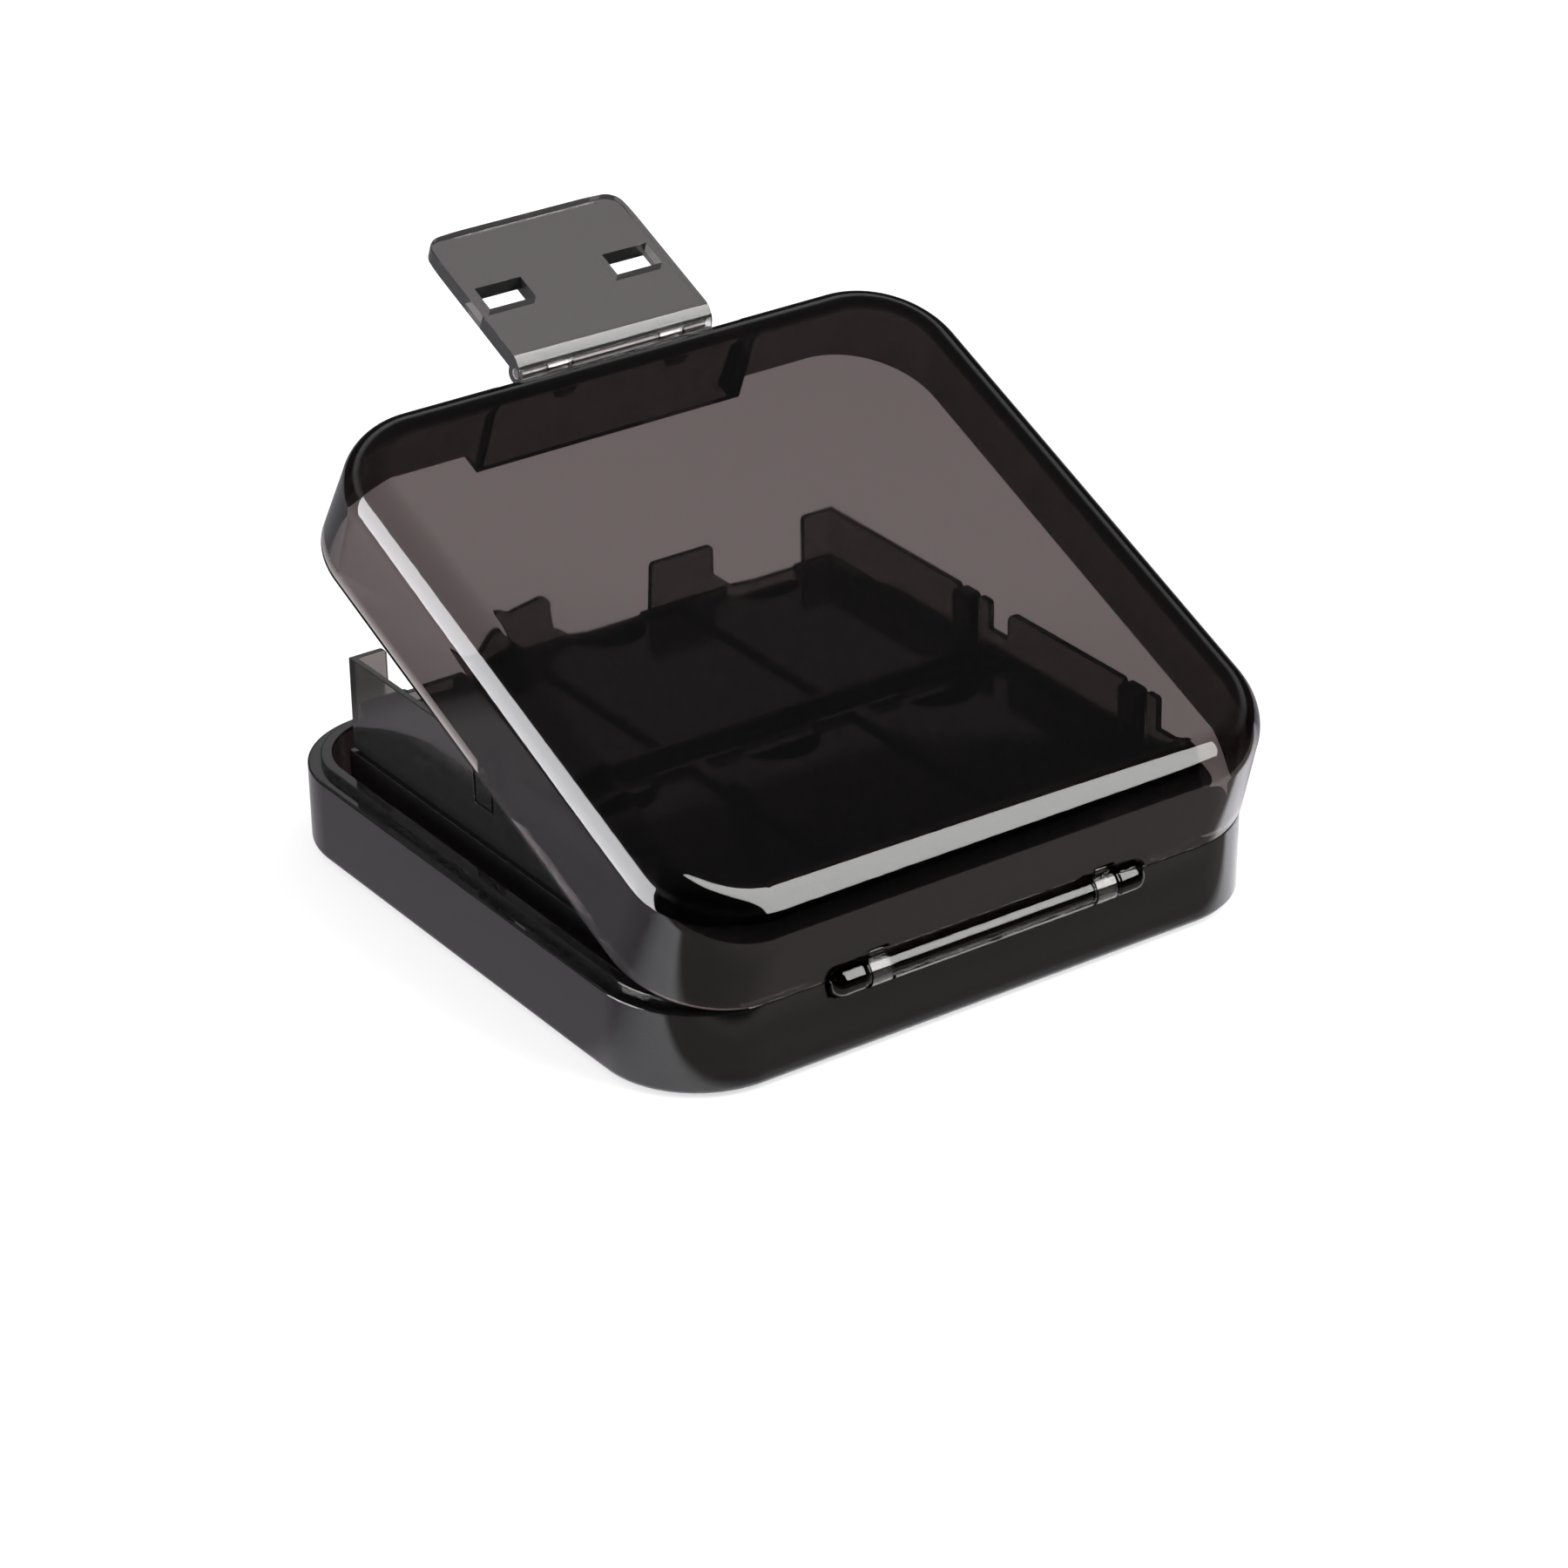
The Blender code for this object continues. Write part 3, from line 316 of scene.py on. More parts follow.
def makeBase():
    rim = case["baseHeight"]
    lipTop = rim + base["lipHeight"]
    block = shellBlock(0, 0, rim, topRound=base["rimRound"], footRound=base["foot"])
    obj = makeObject("baseShellClear", block)
    hingeRoom = axle["half"] + pocket["wall"] + 2 * axle["gap"]
    hingeDepth = -half + pocket["radius"] + 2 * pocket["wall"]
    latchRoom = recess["width"] / 2 + lid["wall"] + recess["play"]
    latchDepth = half - recess["depth"] - 2 * lid["wall"]
    bore = axle["radius"] + axle["play"]
    inner = axle["cradleHalf"] - axle["gap"]
    notch = makeObject("notch", capsuleBar(axle["half"] + axle["gap"], axle["capRadius"] + axle["gap"]))
    middleRoom = startCube((-axle["cradleHalf"], axle["cradleHalf"]), (-half - spare, -half + spare),
                           (rim - spare, rim + spare))
    shapeWith(notch, ("DIFFERENCE", middleRoom))
    notchMesh = bmesh.new()
    notchMesh.from_mesh(notch.data)
    bpy.data.objects.remove(notch, do_unlink=True)
    wedge = [hingePlace] + arc(hingePlace, spare, cradle["backAngle"], cradle["frontAngle"], 6)
    reach = axle["cradleHalf"] + axle["gap"]
    dip = cradle["gapWidth"] / 2
    shapeWith(
        obj,
        ("UNION", shellBlock(base["lipInset"], base["floor"], lipTop, topRound=base["lipRound"])),
        ("DIFFERENCE", shellBlock(base["wall"], base["floor"], lipTop + spare)),
        ("DIFFERENCE", startCube((-hingeRoom, hingeRoom), (-half, hingeDepth), (rim, lipTop + spare))),
        ("DIFFERENCE", startCube((-latchRoom, latchRoom), (latchDepth, half), (rim, lipTop + spare))),
        ("DIFFERENCE", notchMesh),
        ("UNION", roundBar((-inner, inner), hingePlace, bore + axle["ringWall"])),
        ("DIFFERENCE", roundBar((-axle["half"], axle["half"]), hingePlace, bore)),
        ("DIFFERENCE", pushOutline(wedge, "X", (-reach, reach))),
        ("DIFFERENCE", startCube((-dip, dip), (-half - spare, -half - axle["radius"] / 2),
                                 (hingePlace[1] - cradle["gapFoot"] - cradle["gapDrop"], rim))))
    tongueHalf = recess["width"] / 2 - recess["play"]
    face = half - case["gap"]
    catchFoot = rim + catch["top"] - catch["height"]
    nub = [(face - catch["tongue"] / 2, catchFoot), (half + catch["reach"], catchFoot),
           (half + catch["reach"], catchFoot + catch["height"] / 2),
           (face, catchFoot + catch["height"] - case["gap"]),
           (face - catch["tongue"] / 2, catchFoot + catch["height"] - case["gap"])]
    steps = [("UNION", startCube((-tongueHalf, tongueHalf), (face - catch["tongue"], face),
                                 (base["floor"], rim + catch["top"])))]
    for side in (-1, 1):
        middle = side * catch["spacing"] / 2
        xs = (middle - catch["width"] / 2, middle + catch["width"] / 2)
        steps.append(("UNION", pushOutline(nub, "X", xs)))
    shapeWith(obj, *steps)
    softenEdges(obj, base["edge"])
    dress(obj, "base", "smoky_clear_plastic", basePlastic, "base_shell")


def makeAxle():
    # a bar turned in one piece: caps, then a groove at each ring, then the bar
    bm = bmesh.new()
    r, cap, reach = axle["radius"], axle["capRadius"], axle["half"]
    capStart = axle["cradleHalf"] + axle["ringLength"]
    profile = arc((reach - cap, 0), cap, 0, 90, 8)
    rim, farSide, nearSide = (capStart + offset for offset in axle["grooveAt"])
    profile += [(rim, cap), (farSide, cap - axle["groove"]), (nearSide, cap - axle["groove"]),
                (capStart, r), (axle["cradleHalf"], r)]
    profile += [(-x, y) for x, y in reversed(profile)]
    verts = [bm.verts.new((x * mm, 0, max(y, 0) * mm)) for x, y in profile]
    edges = [bm.edges.new(pair) for pair in zip(verts, verts[1:])]
    bmesh.ops.spin(bm, geom=verts + edges, cent=(0, 0, 0), axis=(1, 0, 0), angle=math.tau, steps=48,
                   use_merge=True)
    bmesh.ops.remove_doubles(bm, verts=bm.verts, dist=hair)
    bmesh.ops.recalc_face_normals(bm, faces=bm.faces)
    bmesh.ops.translate(bm, vec=(0, hingePlace[0] * mm, hingePlace[1] * mm), verts=bm.verts)
    obj = makeObject("hingeAxleClear", bm)
    softenEdges(obj, axle["edge"], angle=40)
    dress(obj, "base", "smoky_axle_plastic", axlePlastic, "hinge_axle")


# Lid shell with the latch's recess, the axle's pocket and rings, and the latch's lugs

lug = {"width": 2.8, "spacing": 15.0, "radius": 0.9, "neck": 0.45, "neckSet": 0.1, "neckLength": 1.35,
       "webFoot": 3.9, "webInset": 0.2, "bite": 0.5}
latch = {"width": 26.0, "thick": 2.0, "bend": 2.2, "corner": 2.2, "floorGap": 0.35, "faceGap": 0.25,
         "barrel": 1.1, "pin": 0.55, "pinPlay": 0.1, "pinCover": 0.6, "lugPlay": 0.3, "edge": 0.25,
         "softEdge": 0.08}
slot = {"width": 6.1, "height": 3.5, "spacing": 17.1, "aboveRim": 3.0}
grip = {"length": 19.0, "width": 0.5, "depth": 0.12, "edge": 0.9}


def makeLid():
    bottom = case["baseHeight"] + case["gap"]
    top = case["height"]
    block = shellBlock(0, bottom, top, lid["draft"], lid["topRound"], steps=lid["steps"])
    obj = makeObject("lidShellClear", block)
    room = shellBlock(lid["wall"], bottom - spare, top - lid["top"], lid["draft"], lid["innerRound"],
                      steps=lid["steps"])
    hollow = makeObject("lidHollow", room)
    leadIn = shellBlock(lid["wall"] - lid["leadIn"], bottom - lid["leadInFoot"], bottom + lid["leadIn"],
                        lid["leadInSlope"], steps=lid["steps"])
    halfRecess = recess["width"] / 2
    face = half - recess["depth"]
    recessReach = halfRecess + lid["wall"]
    pocketReach = axle["half"] + axle["gap"]
    shapeWith(
        hollow,
        ("UNION", leadIn),
        ("DIFFERENCE", startCube((-recessReach, recessReach), (face - lid["wall"], half),
                                 (bottom - 2 * spare, top))),
        ("DIFFERENCE", capsuleBar(pocketReach + pocket["wall"], pocket["radius"] + pocket["wall"])))
    hollowMesh = bmesh.new()
    hollowMesh.from_mesh(hollow.data)
    bpy.data.objects.remove(hollow, do_unlink=True)
    steps = [
        ("DIFFERENCE", hollowMesh),
        ("DIFFERENCE", startCube((-halfRecess, halfRecess), (face, half + spare),
                                 (bottom - spare, top + spare))),
        ("DIFFERENCE", capsuleBar(pocketReach, pocket["radius"]))]
    bore = axle["radius"] + axle["play"]
    webTop = hingePlace[1] + pocket["radius"] + pocket["wall"] / 2
    for side in (-1, 1):
        xs = sorted((side * (axle["cradleHalf"] + axle["gap"]),
                     side * (axle["cradleHalf"] + axle["ringLength"] - axle["gap"])))
        past = (xs[0] - over, xs[1] + over)
        steps += [
            ("UNION", roundBar(xs, hingePlace, bore + axle["ringWall"])),
            ("UNION", startCube(xs, (-half, -half + lid["webDepth"]), (hingePlace[1] + bore, webTop))),
            ("DIFFERENCE", roundBar(past, hingePlace, bore)),
            ("DIFFERENCE", startCube(past, (-half - lid["mouth"] / 2, -half + lid["mouth"] / 2),
                                     (hingePlace[1] - spare, hingePlace[1])))]
    y, z = latchPlace
    wall = face - lid["wall"] / 2
    neckFoot = z - lug["neckLength"]
    neckFar = y - lug["neckSet"]
    neckNear = neckFar - lug["neck"]
    web = [(wall, neckFoot), (neckNear, neckFoot), (neckNear, z - lug["bite"]), (neckFar, z - lug["bite"]),
           (neckFar, neckFoot), (wall, z - lug["webFoot"])]
    for side in (-1, 1):
        middle = side * lug["spacing"] / 2
        xs = (middle - lug["width"] / 2, middle + lug["width"] / 2)
        past = (xs[0] - over, xs[1] + over)
        steps += [
            ("UNION", pushOutline(web, "X", (xs[0] + lug["webInset"], xs[1] - lug["webInset"]))),
            ("UNION", roundBar(xs, latchPlace, lug["radius"], steps=24)),
            ("DIFFERENCE", roundBar(past, latchPlace, latch["pin"] + latch["pinPlay"], steps=20))]
    shapeWith(obj, *steps)
    softenEdges(obj, lid["edge"])
    turnWithLid(obj)
    dress(obj, "lid", "smoky_clear_plastic", shellPlastic, "lid_shell")


# Latch: barrel, round bend and flat plate with two slots

def makeLatch():
    y, z = latchPlace
    under = z + latch["faceGap"]
    top = under + latch["thick"]
    end = y + z - latch["floorGap"]
    bend = (y - latch["barrel"] + latch["bend"], top - latch["bend"])
    outline = arc(latchPlace, latch["barrel"], 180, 360, 16)
    outline += [(y + latch["barrel"], under), (end, under), (end, top)]
    outline += arc(bend, latch["bend"], 90, 180, 16)
    halfWidth = latch["width"] / 2
    bm = pushOutline(outline, "X", (-halfWidth, halfWidth))
    corners = [e for e in bm.edges if all(abs(v.co.y - end * mm) < hair for v in e.verts)
               and abs(e.verts[0].co.z - e.verts[1].co.z) > hair
               and abs(e.verts[0].co.x - e.verts[1].co.x) < hair]
    bevelEdges(bm, corners, latch["corner"], 10)
    plateStart = (y + latch["barrel"]) * mm + hair
    rims = [e for e in bm.edges if e.verts[0].co.x * e.verts[1].co.x > 0
            and e.calc_face_angle() > math.radians(60) and min(v.co.y for v in e.verts) > plateStart]
    bevelEdges(bm, rims, latch["edge"], 4)
    obj = makeObject("latchFlapClear", bm)
    steps = []
    slotNear = y + z - (case["baseHeight"] + slot["aboveRim"])
    for side in (-1, 1):
        middle = side * slot["spacing"] / 2
        xs = (middle - slot["width"] / 2, middle + slot["width"] / 2)
        steps.append(("DIFFERENCE", startCube(xs, (slotNear, slotNear + slot["height"]),
                                              (under - spare, top + spare))))
        middle = side * lug["spacing"] / 2
        room = lug["width"] / 2 + latch["lugPlay"]
        xs = (middle - room, middle + room)
        steps += [
            ("DIFFERENCE", startCube(xs, (y - spare, y + latch["barrel"] + latch["lugPlay"]),
                                     (z - spare, z))),
            ("DIFFERENCE", roundBar(xs, latchPlace, lug["radius"] + latch["lugPlay"], steps=24))]
    steps += [
        ("DIFFERENCE", roundBar((latch["pinCover"] - halfWidth, halfWidth + spare), latchPlace,
                                latch["pin"] + latch["pinPlay"], steps=20)),
        ("DIFFERENCE", startCube((-grip["length"] / 2, grip["length"] / 2),
                                 (end - grip["edge"] - grip["width"], end - grip["edge"]),
                                 (top - grip["depth"], top + spare)))]
    shapeWith(obj, *steps)
    softenEdges(obj, latch["softEdge"])
    turnWithLid(obj)
    dress(obj, "latch", "smoky_clear_plastic", latchPlastic, "latch_flap")


# Card racks and trays

card = {"width": 21.3, "length": 31.3, "divider": 0.65, "rowGap": 3.85}
rack = {"wall": 0.8, "halfWidth": 33.4, "far": 34.775, "lowerBottom": 1.9, "lowerTop": 9.6, "bottom": 9.9,
        "top": 21.3, "ledge": 0.4, "floor": 0.8, "pocketTop": 14.0, "edge": 0.1}
# Pairs are x and z from left to right, and those named Rise give z above the gaps' floor
farWall = {"gapFloor": 15.0, "cornerPost": 4.6, "round": 0.6, "lobeEdge": -16.3, "lobeFoot": 18.6,
           "leftLobe": (-14.1, 19.0), "leftLobeRound": 2.2,
           "dip": [(-12.9, 20.75), (-12.3, 20.55), (-11.6, 20.75)], "rightLobe": -8.2, "rightLobeRound": 1.3,
           "lobeSlope": [(-6.75, 17.6), (-6.6, 16.9), (-5.4, 16.2)],
           "middleRise": [(-4.2, 0.3), (-1.5, -0.1), (3.0, -0.2)], "plainFoot": 6.8,
           "plainPost": (7.1, 15.8), "plainSlope": 17.6, "plainRise": [(18.5, 0.3), (22.0, 0.0)]}
sideWall = {"gapFar": 2.375, "gapWidth": 3.45, "gapFloor": 17.8, "gapRound": 1.4, "nearTop": 17.4,
            "nearEnd": -28.425, "slit": 0.35, "round": 0.5}
ear = {"far": 8.025, "length": 3.2, "pitch": 30.8, "round": 0.7}
tray = {"bottom": 14.3, "top": 15.1, "edge": 15.9, "play": 0.3, "scoop": 5.0, "soft": 0.1}
pitch = card["width"] + card["divider"]
farRow = rack["far"] - rack["wall"]


def pocketCuts(bottom, top):
    cuts = []
    for row in range(2):
        far = farRow - row * (card["length"] + card["rowGap"])
        for column in (-1, 0, 1):
            middle = column * pitch
            xs = (middle - card["width"] / 2, middle + card["width"] / 2)
            cuts.append(("DIFFERENCE", startCube(xs, (far - card["length"], far), (bottom, top))))
    return cuts


def makeLowerRack():
    wide = rack["halfWidth"] + rack["ledge"]
    deep = rack["far"] + rack["ledge"]
    block = startCube((-wide, wide), (-deep, deep), (rack["lowerBottom"], rack["lowerTop"]))
    obj = makeObject("lowerRackSmoky", block)
    shapeWith(obj, *pocketCuts(rack["lowerBottom"] + rack["floor"], rack["lowerTop"] + spare))
    softenEdges(obj, rack["edge"])
    dress(obj, "base", "smoky_rack_plastic", rackPlastic, "lower_rack")


def farOutline():
    # the far wall's top edge from left to right, as x and z
    low, top, r = farWall["gapFloor"], rack["top"], farWall["round"]
    edge = rack["halfWidth"]
    post = edge - farWall["cornerPost"]
    lobe = farWall["rightLobeRound"]
    plainLeft, plainRight = farWall["plainPost"]
    points = [(-edge, rack["bottom"]), (-edge, top)]
    points += arc((-post - r, top - r), r, 90, 0, 4) + [(-post, low)]
    points += [(farWall["lobeEdge"], low), (farWall["lobeEdge"], farWall["lobeFoot"])]
    points += arc(farWall["leftLobe"], farWall["leftLobeRound"], 180, 75, 6) + farWall["dip"]
    points += arc((farWall["rightLobe"], top - lobe), lobe, 100, -20, 6) + farWall["lobeSlope"]
    points += [(x, low + rise) for x, rise in farWall["middleRise"]]
    points += [(farWall["plainFoot"], low)] + arc((plainLeft + r, top - r), r, 180, 90, 4)
    points += arc((plainRight - r, top - r), r, 90, 0, 4) + [(plainRight, farWall["plainSlope"])]
    points += [(x, low + rise) for x, rise in farWall["plainRise"]]
    points += [(post, low)] + arc((post + r, top - r), r, 180, 90, 4) + [(edge, top), (edge, rack["bottom"])]
    return points


def sideOutline():
    # a side wall from far to near, as y and z
    top, bottom, r, bend = rack["top"], rack["bottom"], sideWall["round"], sideWall["gapRound"]
    points = [(rack["far"], bottom), (rack["far"], top)]
    for row in range(2):
        far = ear["far"] - row * ear["pitch"] + sideWall["slit"]
        near = far - ear["length"] - 2 * sideWall["slit"]
        points += arc((far + r, top - r), r, 90, 180, 3)
        points += [(far, rack["pocketTop"]), (near, rack["pocketTop"])]
        points += arc((near - r, top - r), r, 0, 90, 3)
        if row == 0:
            gapNear = sideWall["gapFar"] - sideWall["gapWidth"]
            points += arc((sideWall["gapFar"] + r, top - r), r, 90, 180, 3)
            points += [(sideWall["gapFar"], sideWall["gapFloor"]), (gapNear, sideWall["gapFloor"])]
            points += arc((gapNear - bend, top - bend), bend, 0, 90, 5)
    points += arc((sideWall["nearEnd"] + r, top - r), r, 90, 180, 3)
    points += [(sideWall["nearEnd"], sideWall["nearTop"]), (-rack["far"], sideWall["nearTop"])]
    return points + [(-rack["far"], bottom)]


def makeUpperRack():
    wide, deep, wall = rack["halfWidth"], rack["far"], rack["wall"]
    block = startCube((-wide, wide), (-deep, deep), (rack["bottom"], rack["pocketTop"]))
    obj = makeObject("upperRackSmoky", block)
    shapeWith(obj, *pocketCuts(rack["bottom"] + rack["floor"], rack["pocketTop"] + spare))
    steps = [("UNION", pushOutline(farOutline(), "Y", (farRow, deep)))]
    for side in (-1, 1):
        xs = sorted((side * wide, side * (wide - wall)))
        steps.append(("UNION", pushOutline(sideOutline(), "X", xs)))
    nearWall = startCube((-wide, wide), (-deep, -deep + wall), (rack["bottom"], sideWall["nearTop"]))
    steps.append(("UNION", nearWall))
    shapeWith(obj, *steps)
    softenEdges(obj, rack["edge"])
    dress(obj, "base", "smoky_rack_plastic", rackPlastic, "upper_rack")


def makeTray(name, row, node):
    far = farRow - row * (card["length"] + card["rowGap"]) - tray["play"]
    near = far - card["length"] + 2 * tray["play"]
    wide = rack["halfWidth"] - rack["wall"] - tray["play"]
    obj = makeObject(name, startCube((-wide, wide), (near, far), (tray["bottom"], tray["edge"])))
    steps = []
    reach = card["width"] / 2 - tray["play"] - card["divider"] / 2
    ys = (near + card["divider"], far - card["divider"])
    above = tray["edge"] + spare
    for column in (-1, 0, 1):
        middle = column * pitch
        steps += [
            ("DIFFERENCE", startCube((middle - reach, middle + reach), ys, (tray["top"], above))),
            ("DIFFERENCE", standingDrum((middle, far), (tray["bottom"] - spare, above), tray["scoop"]))]
    earNear = ear["far"] - ear["length"] - row * ear["pitch"]
    earFar = earNear + ear["length"]
    r, top = ear["round"], rack["top"]
    outline = [(earNear, tray["bottom"]), (earFar, tray["bottom"])]
    outline += arc((earFar - r, top - r), r, 0, 90, 5) + arc((earNear + r, top - r), r, 90, 180, 5)
    for side in (-1, 1):
        xs = sorted((side * (wide - rack["wall"]), side * rack["halfWidth"]))
        steps.append(("UNION", pushOutline(outline, "X", xs)))
    shapeWith(obj, *steps)
    softenEdges(obj, tray["soft"])
    dress(obj, "base", "smoky_rack_plastic", rackPlastic, node)


# Studio: floor, sky, two softboxes and the camera

# Painted reflection: to rays mirrored by the plastic the floor glows in bands of these tones, each at its y,
# and is open left of one x
floorLook = {"size": 0.9, "drop": 0.0004, "albedo": 0.45, "glow": 0.55, "openLeft": -0.1,
             "mirrorFrom": -0.12, "mirrorTo": 0.14, "paintedReflectionLevel": 2.5,
             "paintedReflectionTones": [(-0.1, (0.02, 0.02, 0.02)), (-0.057, (0.03, 0.028, 0.028)),
                       (-0.0552, (0.22, 0.2, 0.19)),
                       (-0.051, (0.16, 0.145, 0.14)), (-0.0435, (0.16, 0.145, 0.14)),
                       (-0.0415, (0.86, 0.85, 0.88)), (-0.034, (0.7, 0.69, 0.72)),
                       (-0.022, (0.225, 0.207, 0.23)), (0.056, (0.19, 0.178, 0.19)),
                       (0.066, (0.03, 0.03, 0.03)), (0.094, (0.03, 0.03, 0.03)), (0.104, (0.12, 0.12, 0.13))]}
skyLook = {"level": 0.8, "peak": 0.6, "low": 0.05, "lowFrom": 0.3, "lowTo": 0.4, "ceiling": 0.096,
           "from": 0.5, "to": 0.62, "front": 0.06, "frontFrom": 0.1, "frontTo": -0.4}
softboxes = {
    "leftSoftbox": {"place": (-0.931, 0.345, 0.122), "size": (0.655, 0.913), "up": (0.062, -0.181, 0.981),
                    "level": 12.0, "tint": (1.0, 1.0, 1.03)},
    "frontSoftbox": {"place": (0.396, -0.526, 0.752), "size": (0.432, 1.344), "up": (-0.13, 0.779, 0.614),
                     "level": 10.0, "tint": (1.0, 1.0, 0.97)}}
# The photograph's lens: back points from the case to the camera, and roll is in degrees
lens = {"focal": 117.27, "sensor": 36.0, "back": (-0.5010, -0.7306, 0.4639), "distance": 0.568,
        "roll": -1.0058, "target": (-0.00178, -0.00575, 0.0123)}


def mathNode(tree, operation, *values):
    # each value is a number or another node's output
    node = tree.nodes.new("ShaderNodeMath")
    node.operation = operation
    for i, value in enumerate(values):
        if isinstance(value, (int, float)):
            node.inputs[i].default_value = value
        else:
            tree.links.new(value, node.inputs[i])
    return node.outputs[0]


def rangeNode(tree, value, start, end, low, high):
    node = addNode(tree, "ShaderNodeMapRange", From_Min=start, From_Max=end, To_Min=low, To_Max=high)
    tree.links.new(value, node.inputs["Value"])
    return node.outputs["Result"]


def splitPlace(tree, output):
    place = addNode(tree, "ShaderNodeTexCoord")
    parts = addNode(tree, "ShaderNodeSeparateXYZ")
    tree.links.new(place.outputs[output], parts.inputs[0])
    return parts.outputs


def mirroredOnly(path):
    # 1 for rays bounced off a shiny face, 0 for the camera and for rays that came through the plastic
    return mathNode(path.id_data, "GREATER_THAN", path.outputs["Is Glossy Ray"],
                    path.outputs["Is Transmission Ray"])


def mixShaders(tree, share, first, second):
    mix = addNode(tree, "ShaderNodeMixShader")
    tree.links.new(share, mix.inputs[0])
    tree.links.new(first.outputs[0], mix.inputs[1])
    tree.links.new(second.outputs[0], mix.inputs[2])
    return mix


def makeFloor():
    bm = bmesh.new()
    bmesh.ops.create_grid(bm, x_segments=2, y_segments=2, size=floorLook["size"] / 2)
    bmesh.ops.translate(bm, vec=(0, 0, -floorLook["drop"]), verts=bm.verts)
    obj = makeObject("paleFloor", bm)
    material = bpy.data.materials.new("paleFloor")
    material.use_nodes = True
    tree = material.node_tree
    tree.nodes.remove(tree.nodes["Principled BSDF"])
    parts = splitPlace(tree, "Object")
    path = addNode(tree, "ShaderNodeLightPath")

    # what the camera sees: lit paper with a little glow, so it stays white and keeps its shadow
    matt = addNode(tree, "ShaderNodeBsdfDiffuse")
    matt.inputs["Color"].default_value = (floorLook["albedo"],) * 3 + (1,)
    glow = addNode(tree, "ShaderNodeEmission")
    direct = mathNode(tree, "MAXIMUM", path.outputs["Is Camera Ray"], path.outputs["Is Transmission Ray"])
    tree.links.new(mathNode(tree, "MULTIPLY", direct, floorLook["glow"]), glow.inputs["Strength"])
    paper = addNode(tree, "ShaderNodeAddShader")
    tree.links.new(matt.outputs[0], paper.inputs[0])
    tree.links.new(glow.outputs[0], paper.inputs[1])

    # what the plastic mirrors: a painted reflection, the floor glowing in bands of different tones, open on the
    # left to the softbox
    start, end = floorLook["mirrorFrom"], floorLook["mirrorTo"]
    ramp = tree.nodes.new("ShaderNodeValToRGB")
    tree.links.new(rangeNode(tree, parts["Y"], start, end, 0.0, 1.0), ramp.inputs["Fac"])
    stops = ramp.color_ramp.elements
    while len(stops) < len(floorLook["paintedReflectionTones"]):
        stops.new(1.0)
    for stop, (y, tone) in zip(stops, floorLook["paintedReflectionTones"]):
        stop.position = (y - start) / (end - start)
        stop.color = (*tone, 1)
    # painted reflection: this glow is seen only by rays mirrored off the plastic
    paintedReflectionGlow = addNode(tree, "ShaderNodeEmission", Strength=floorLook["paintedReflectionLevel"])
    tree.links.new(ramp.outputs["Color"], paintedReflectionGlow.inputs["Color"])
    gap = addNode(tree, "ShaderNodeBsdfTransparent")
    mirrored = mixShaders(tree, mathNode(tree, "LESS_THAN", parts["X"], floorLook["openLeft"]), paintedReflectionGlow, gap)

    whole = mixShaders(tree, mirroredOnly(path), paper, mirrored)
    tree.links.new(whole.outputs[0], tree.nodes["Material Output"].inputs["Surface"])
    obj.data.materials.append(material)


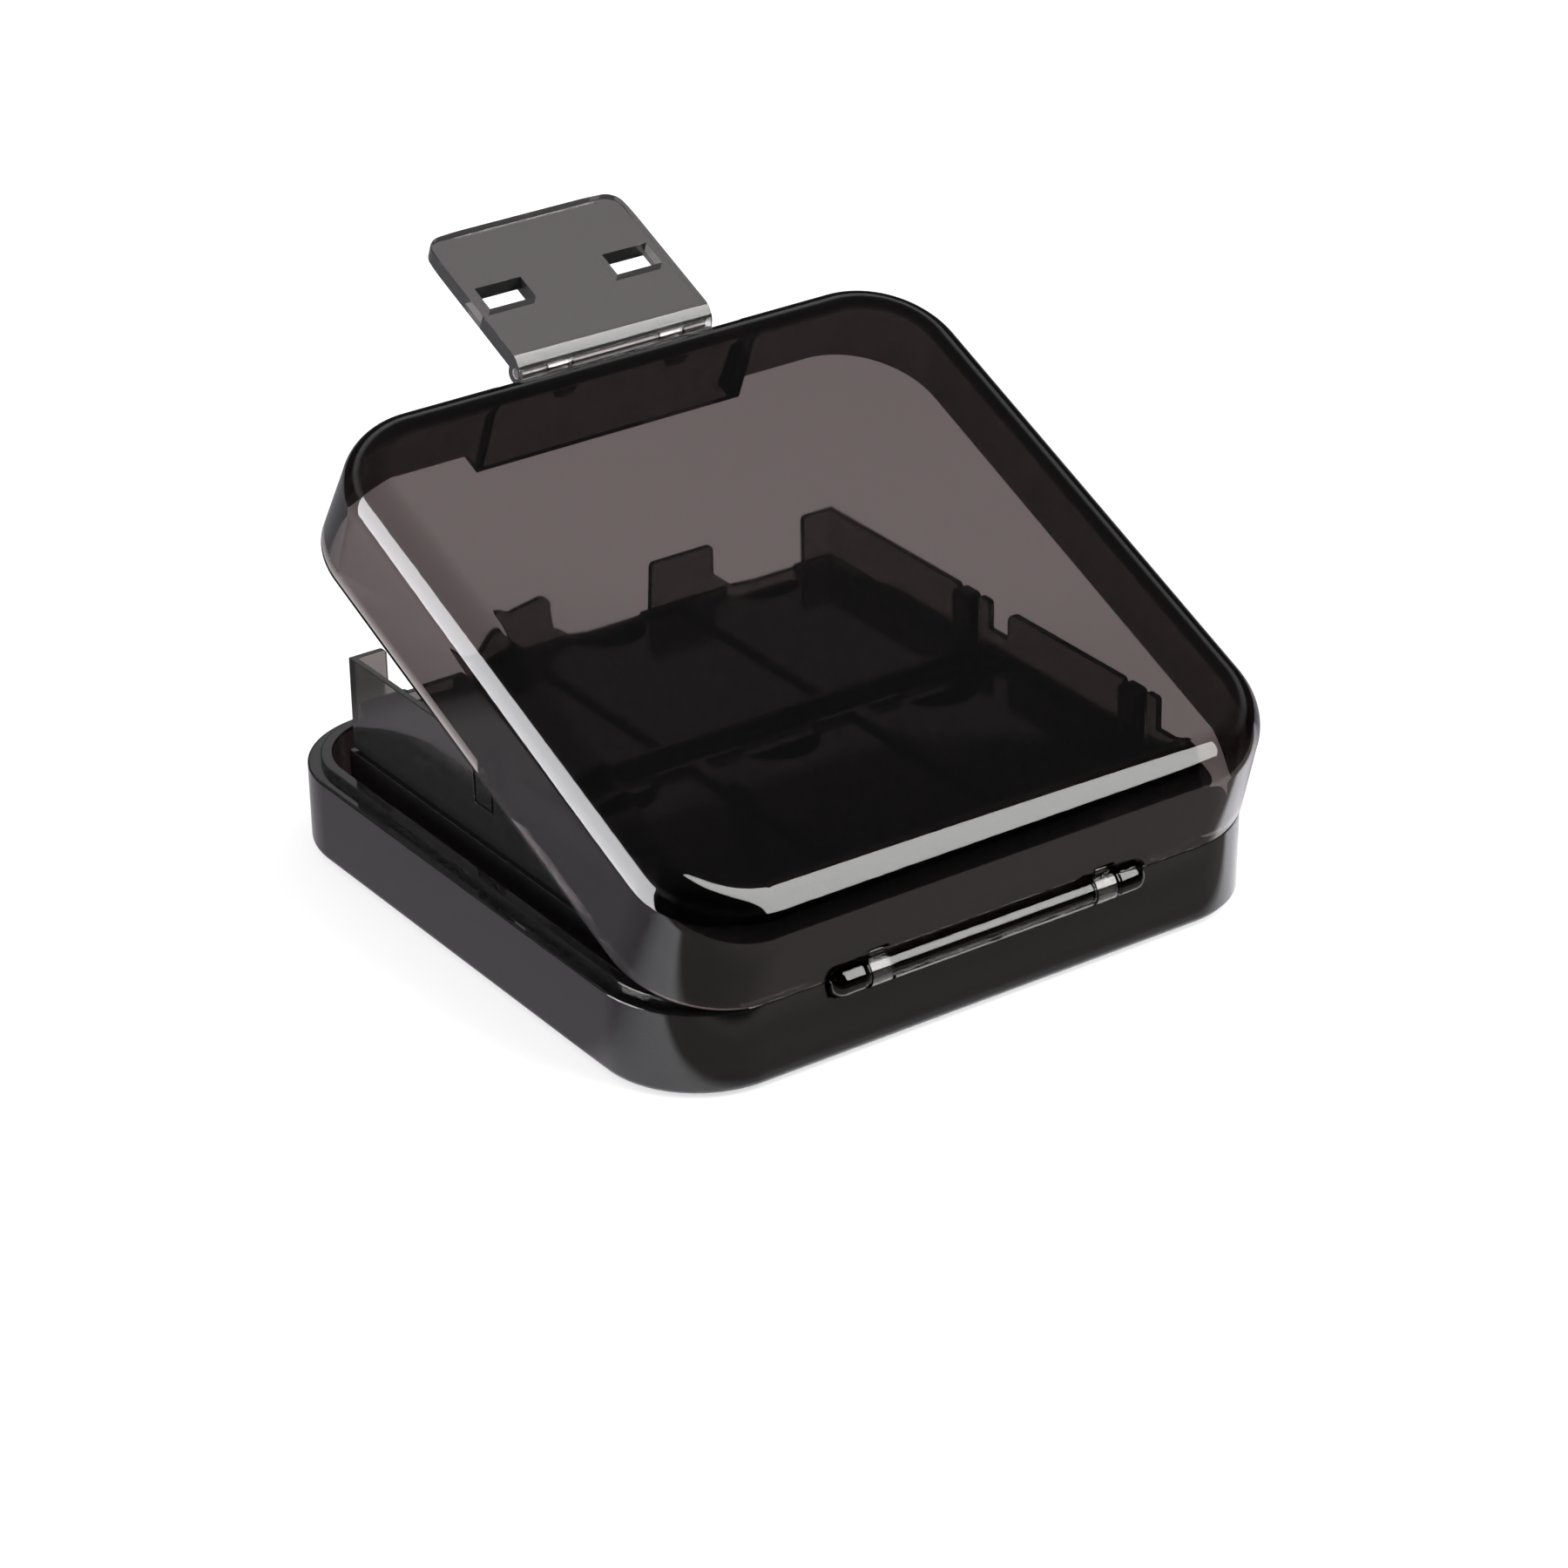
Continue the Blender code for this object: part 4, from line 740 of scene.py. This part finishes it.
def makeSky():
    # white to the camera; in the plastic it is light low down behind, and dim overhead and in front
    world = bpy.data.worlds.new("studio")
    bpy.context.scene.world = world
    world.use_nodes = True
    tree = world.node_tree
    tree.nodes.clear()
    parts = splitPlace(tree, "Generated")
    path = addNode(tree, "ShaderNodeLightPath")
    high = rangeNode(tree, parts["Z"], skyLook["from"], skyLook["to"], skyLook["peak"], skyLook["ceiling"])
    front = rangeNode(tree, parts["Y"], skyLook["frontFrom"], skyLook["frontTo"], 1.0, skyLook["front"])
    low = rangeNode(tree, parts["Z"], skyLook["lowFrom"], skyLook["lowTo"], skyLook["low"], 1.0)
    seen = mathNode(tree, "MULTIPLY", mathNode(tree, "MULTIPLY", high, front), low)
    sky = addNode(tree, "ShaderNodeBackground", Color=(1, 1, 1, 1))
    out = addNode(tree, "ShaderNodeOutputWorld")
    drop = mathNode(tree, "SUBTRACT", seen, skyLook["level"])
    change = mathNode(tree, "MULTIPLY", mirroredOnly(path), drop)
    toPlastic = mathNode(tree, "ADD", change, skyLook["level"])
    strength = mathNode(tree, "MAXIMUM", toPlastic, path.outputs["Is Camera Ray"])
    tree.links.new(strength, sky.inputs["Strength"])
    tree.links.new(sky.outputs[0], out.inputs["Surface"])


def makeSoftbox(name, look):
    lamp = bpy.data.lights.new(name, "AREA")
    lamp.shape = "RECTANGLE"
    lamp.size, lamp.size_y = look["size"]
    lamp.color = look["tint"]
    lamp.energy = look["level"] * math.pi * look["size"][0] * look["size"][1]
    obj = bpy.data.objects.new(name, lamp)
    bpy.context.scene.collection.objects.link(obj)
    obj.location = look["place"]
    out = Vector(look["place"]).normalized()
    across = Vector(look["up"]).cross(out).normalized()
    obj.rotation_euler = Matrix((across, out.cross(across), out)).transposed().to_euler()
    obj.visible_camera = False


def makeCamera():
    data = bpy.data.cameras.new("camera")
    data.lens = lens["focal"]
    data.sensor_width = lens["sensor"]
    obj = bpy.data.objects.new("camera", data)
    bpy.context.scene.collection.objects.link(obj)
    back = Vector(lens["back"]).normalized()
    right = Vector((0, 0, 1)).cross(back).normalized()
    up = back.cross(right)
    roll = math.radians(lens["roll"])
    leanRight = right * math.cos(roll) + up * math.sin(roll)
    leanUp = up * math.cos(roll) - right * math.sin(roll)
    turn = Matrix((leanRight, leanUp, back)).transposed().to_4x4()
    obj.matrix_world = Matrix.Translation(Vector(lens["target"]) + back * lens["distance"]) @ turn
    bpy.context.scene.camera = obj


makeCamera()
makeFloor()
makeSky()
for name, look in softboxes.items():
    makeSoftbox(name, look)
print("studio ready")
makeBase()
makeAxle()
print("base and axle dressed")
makeLid()
makeLatch()
print("lid and latch dressed")
makeLowerRack()
makeUpperRack()
makeTray("farTraySmoky", 0, "far_card_tray")
makeTray("nearTraySmoky", 1, "near_card_tray")
print("racks and trays dressed")
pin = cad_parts["latch_pin"]
pin.material_slots[0].material = pinSteel
bpy.context.scene.view_settings.view_transform = "Standard"
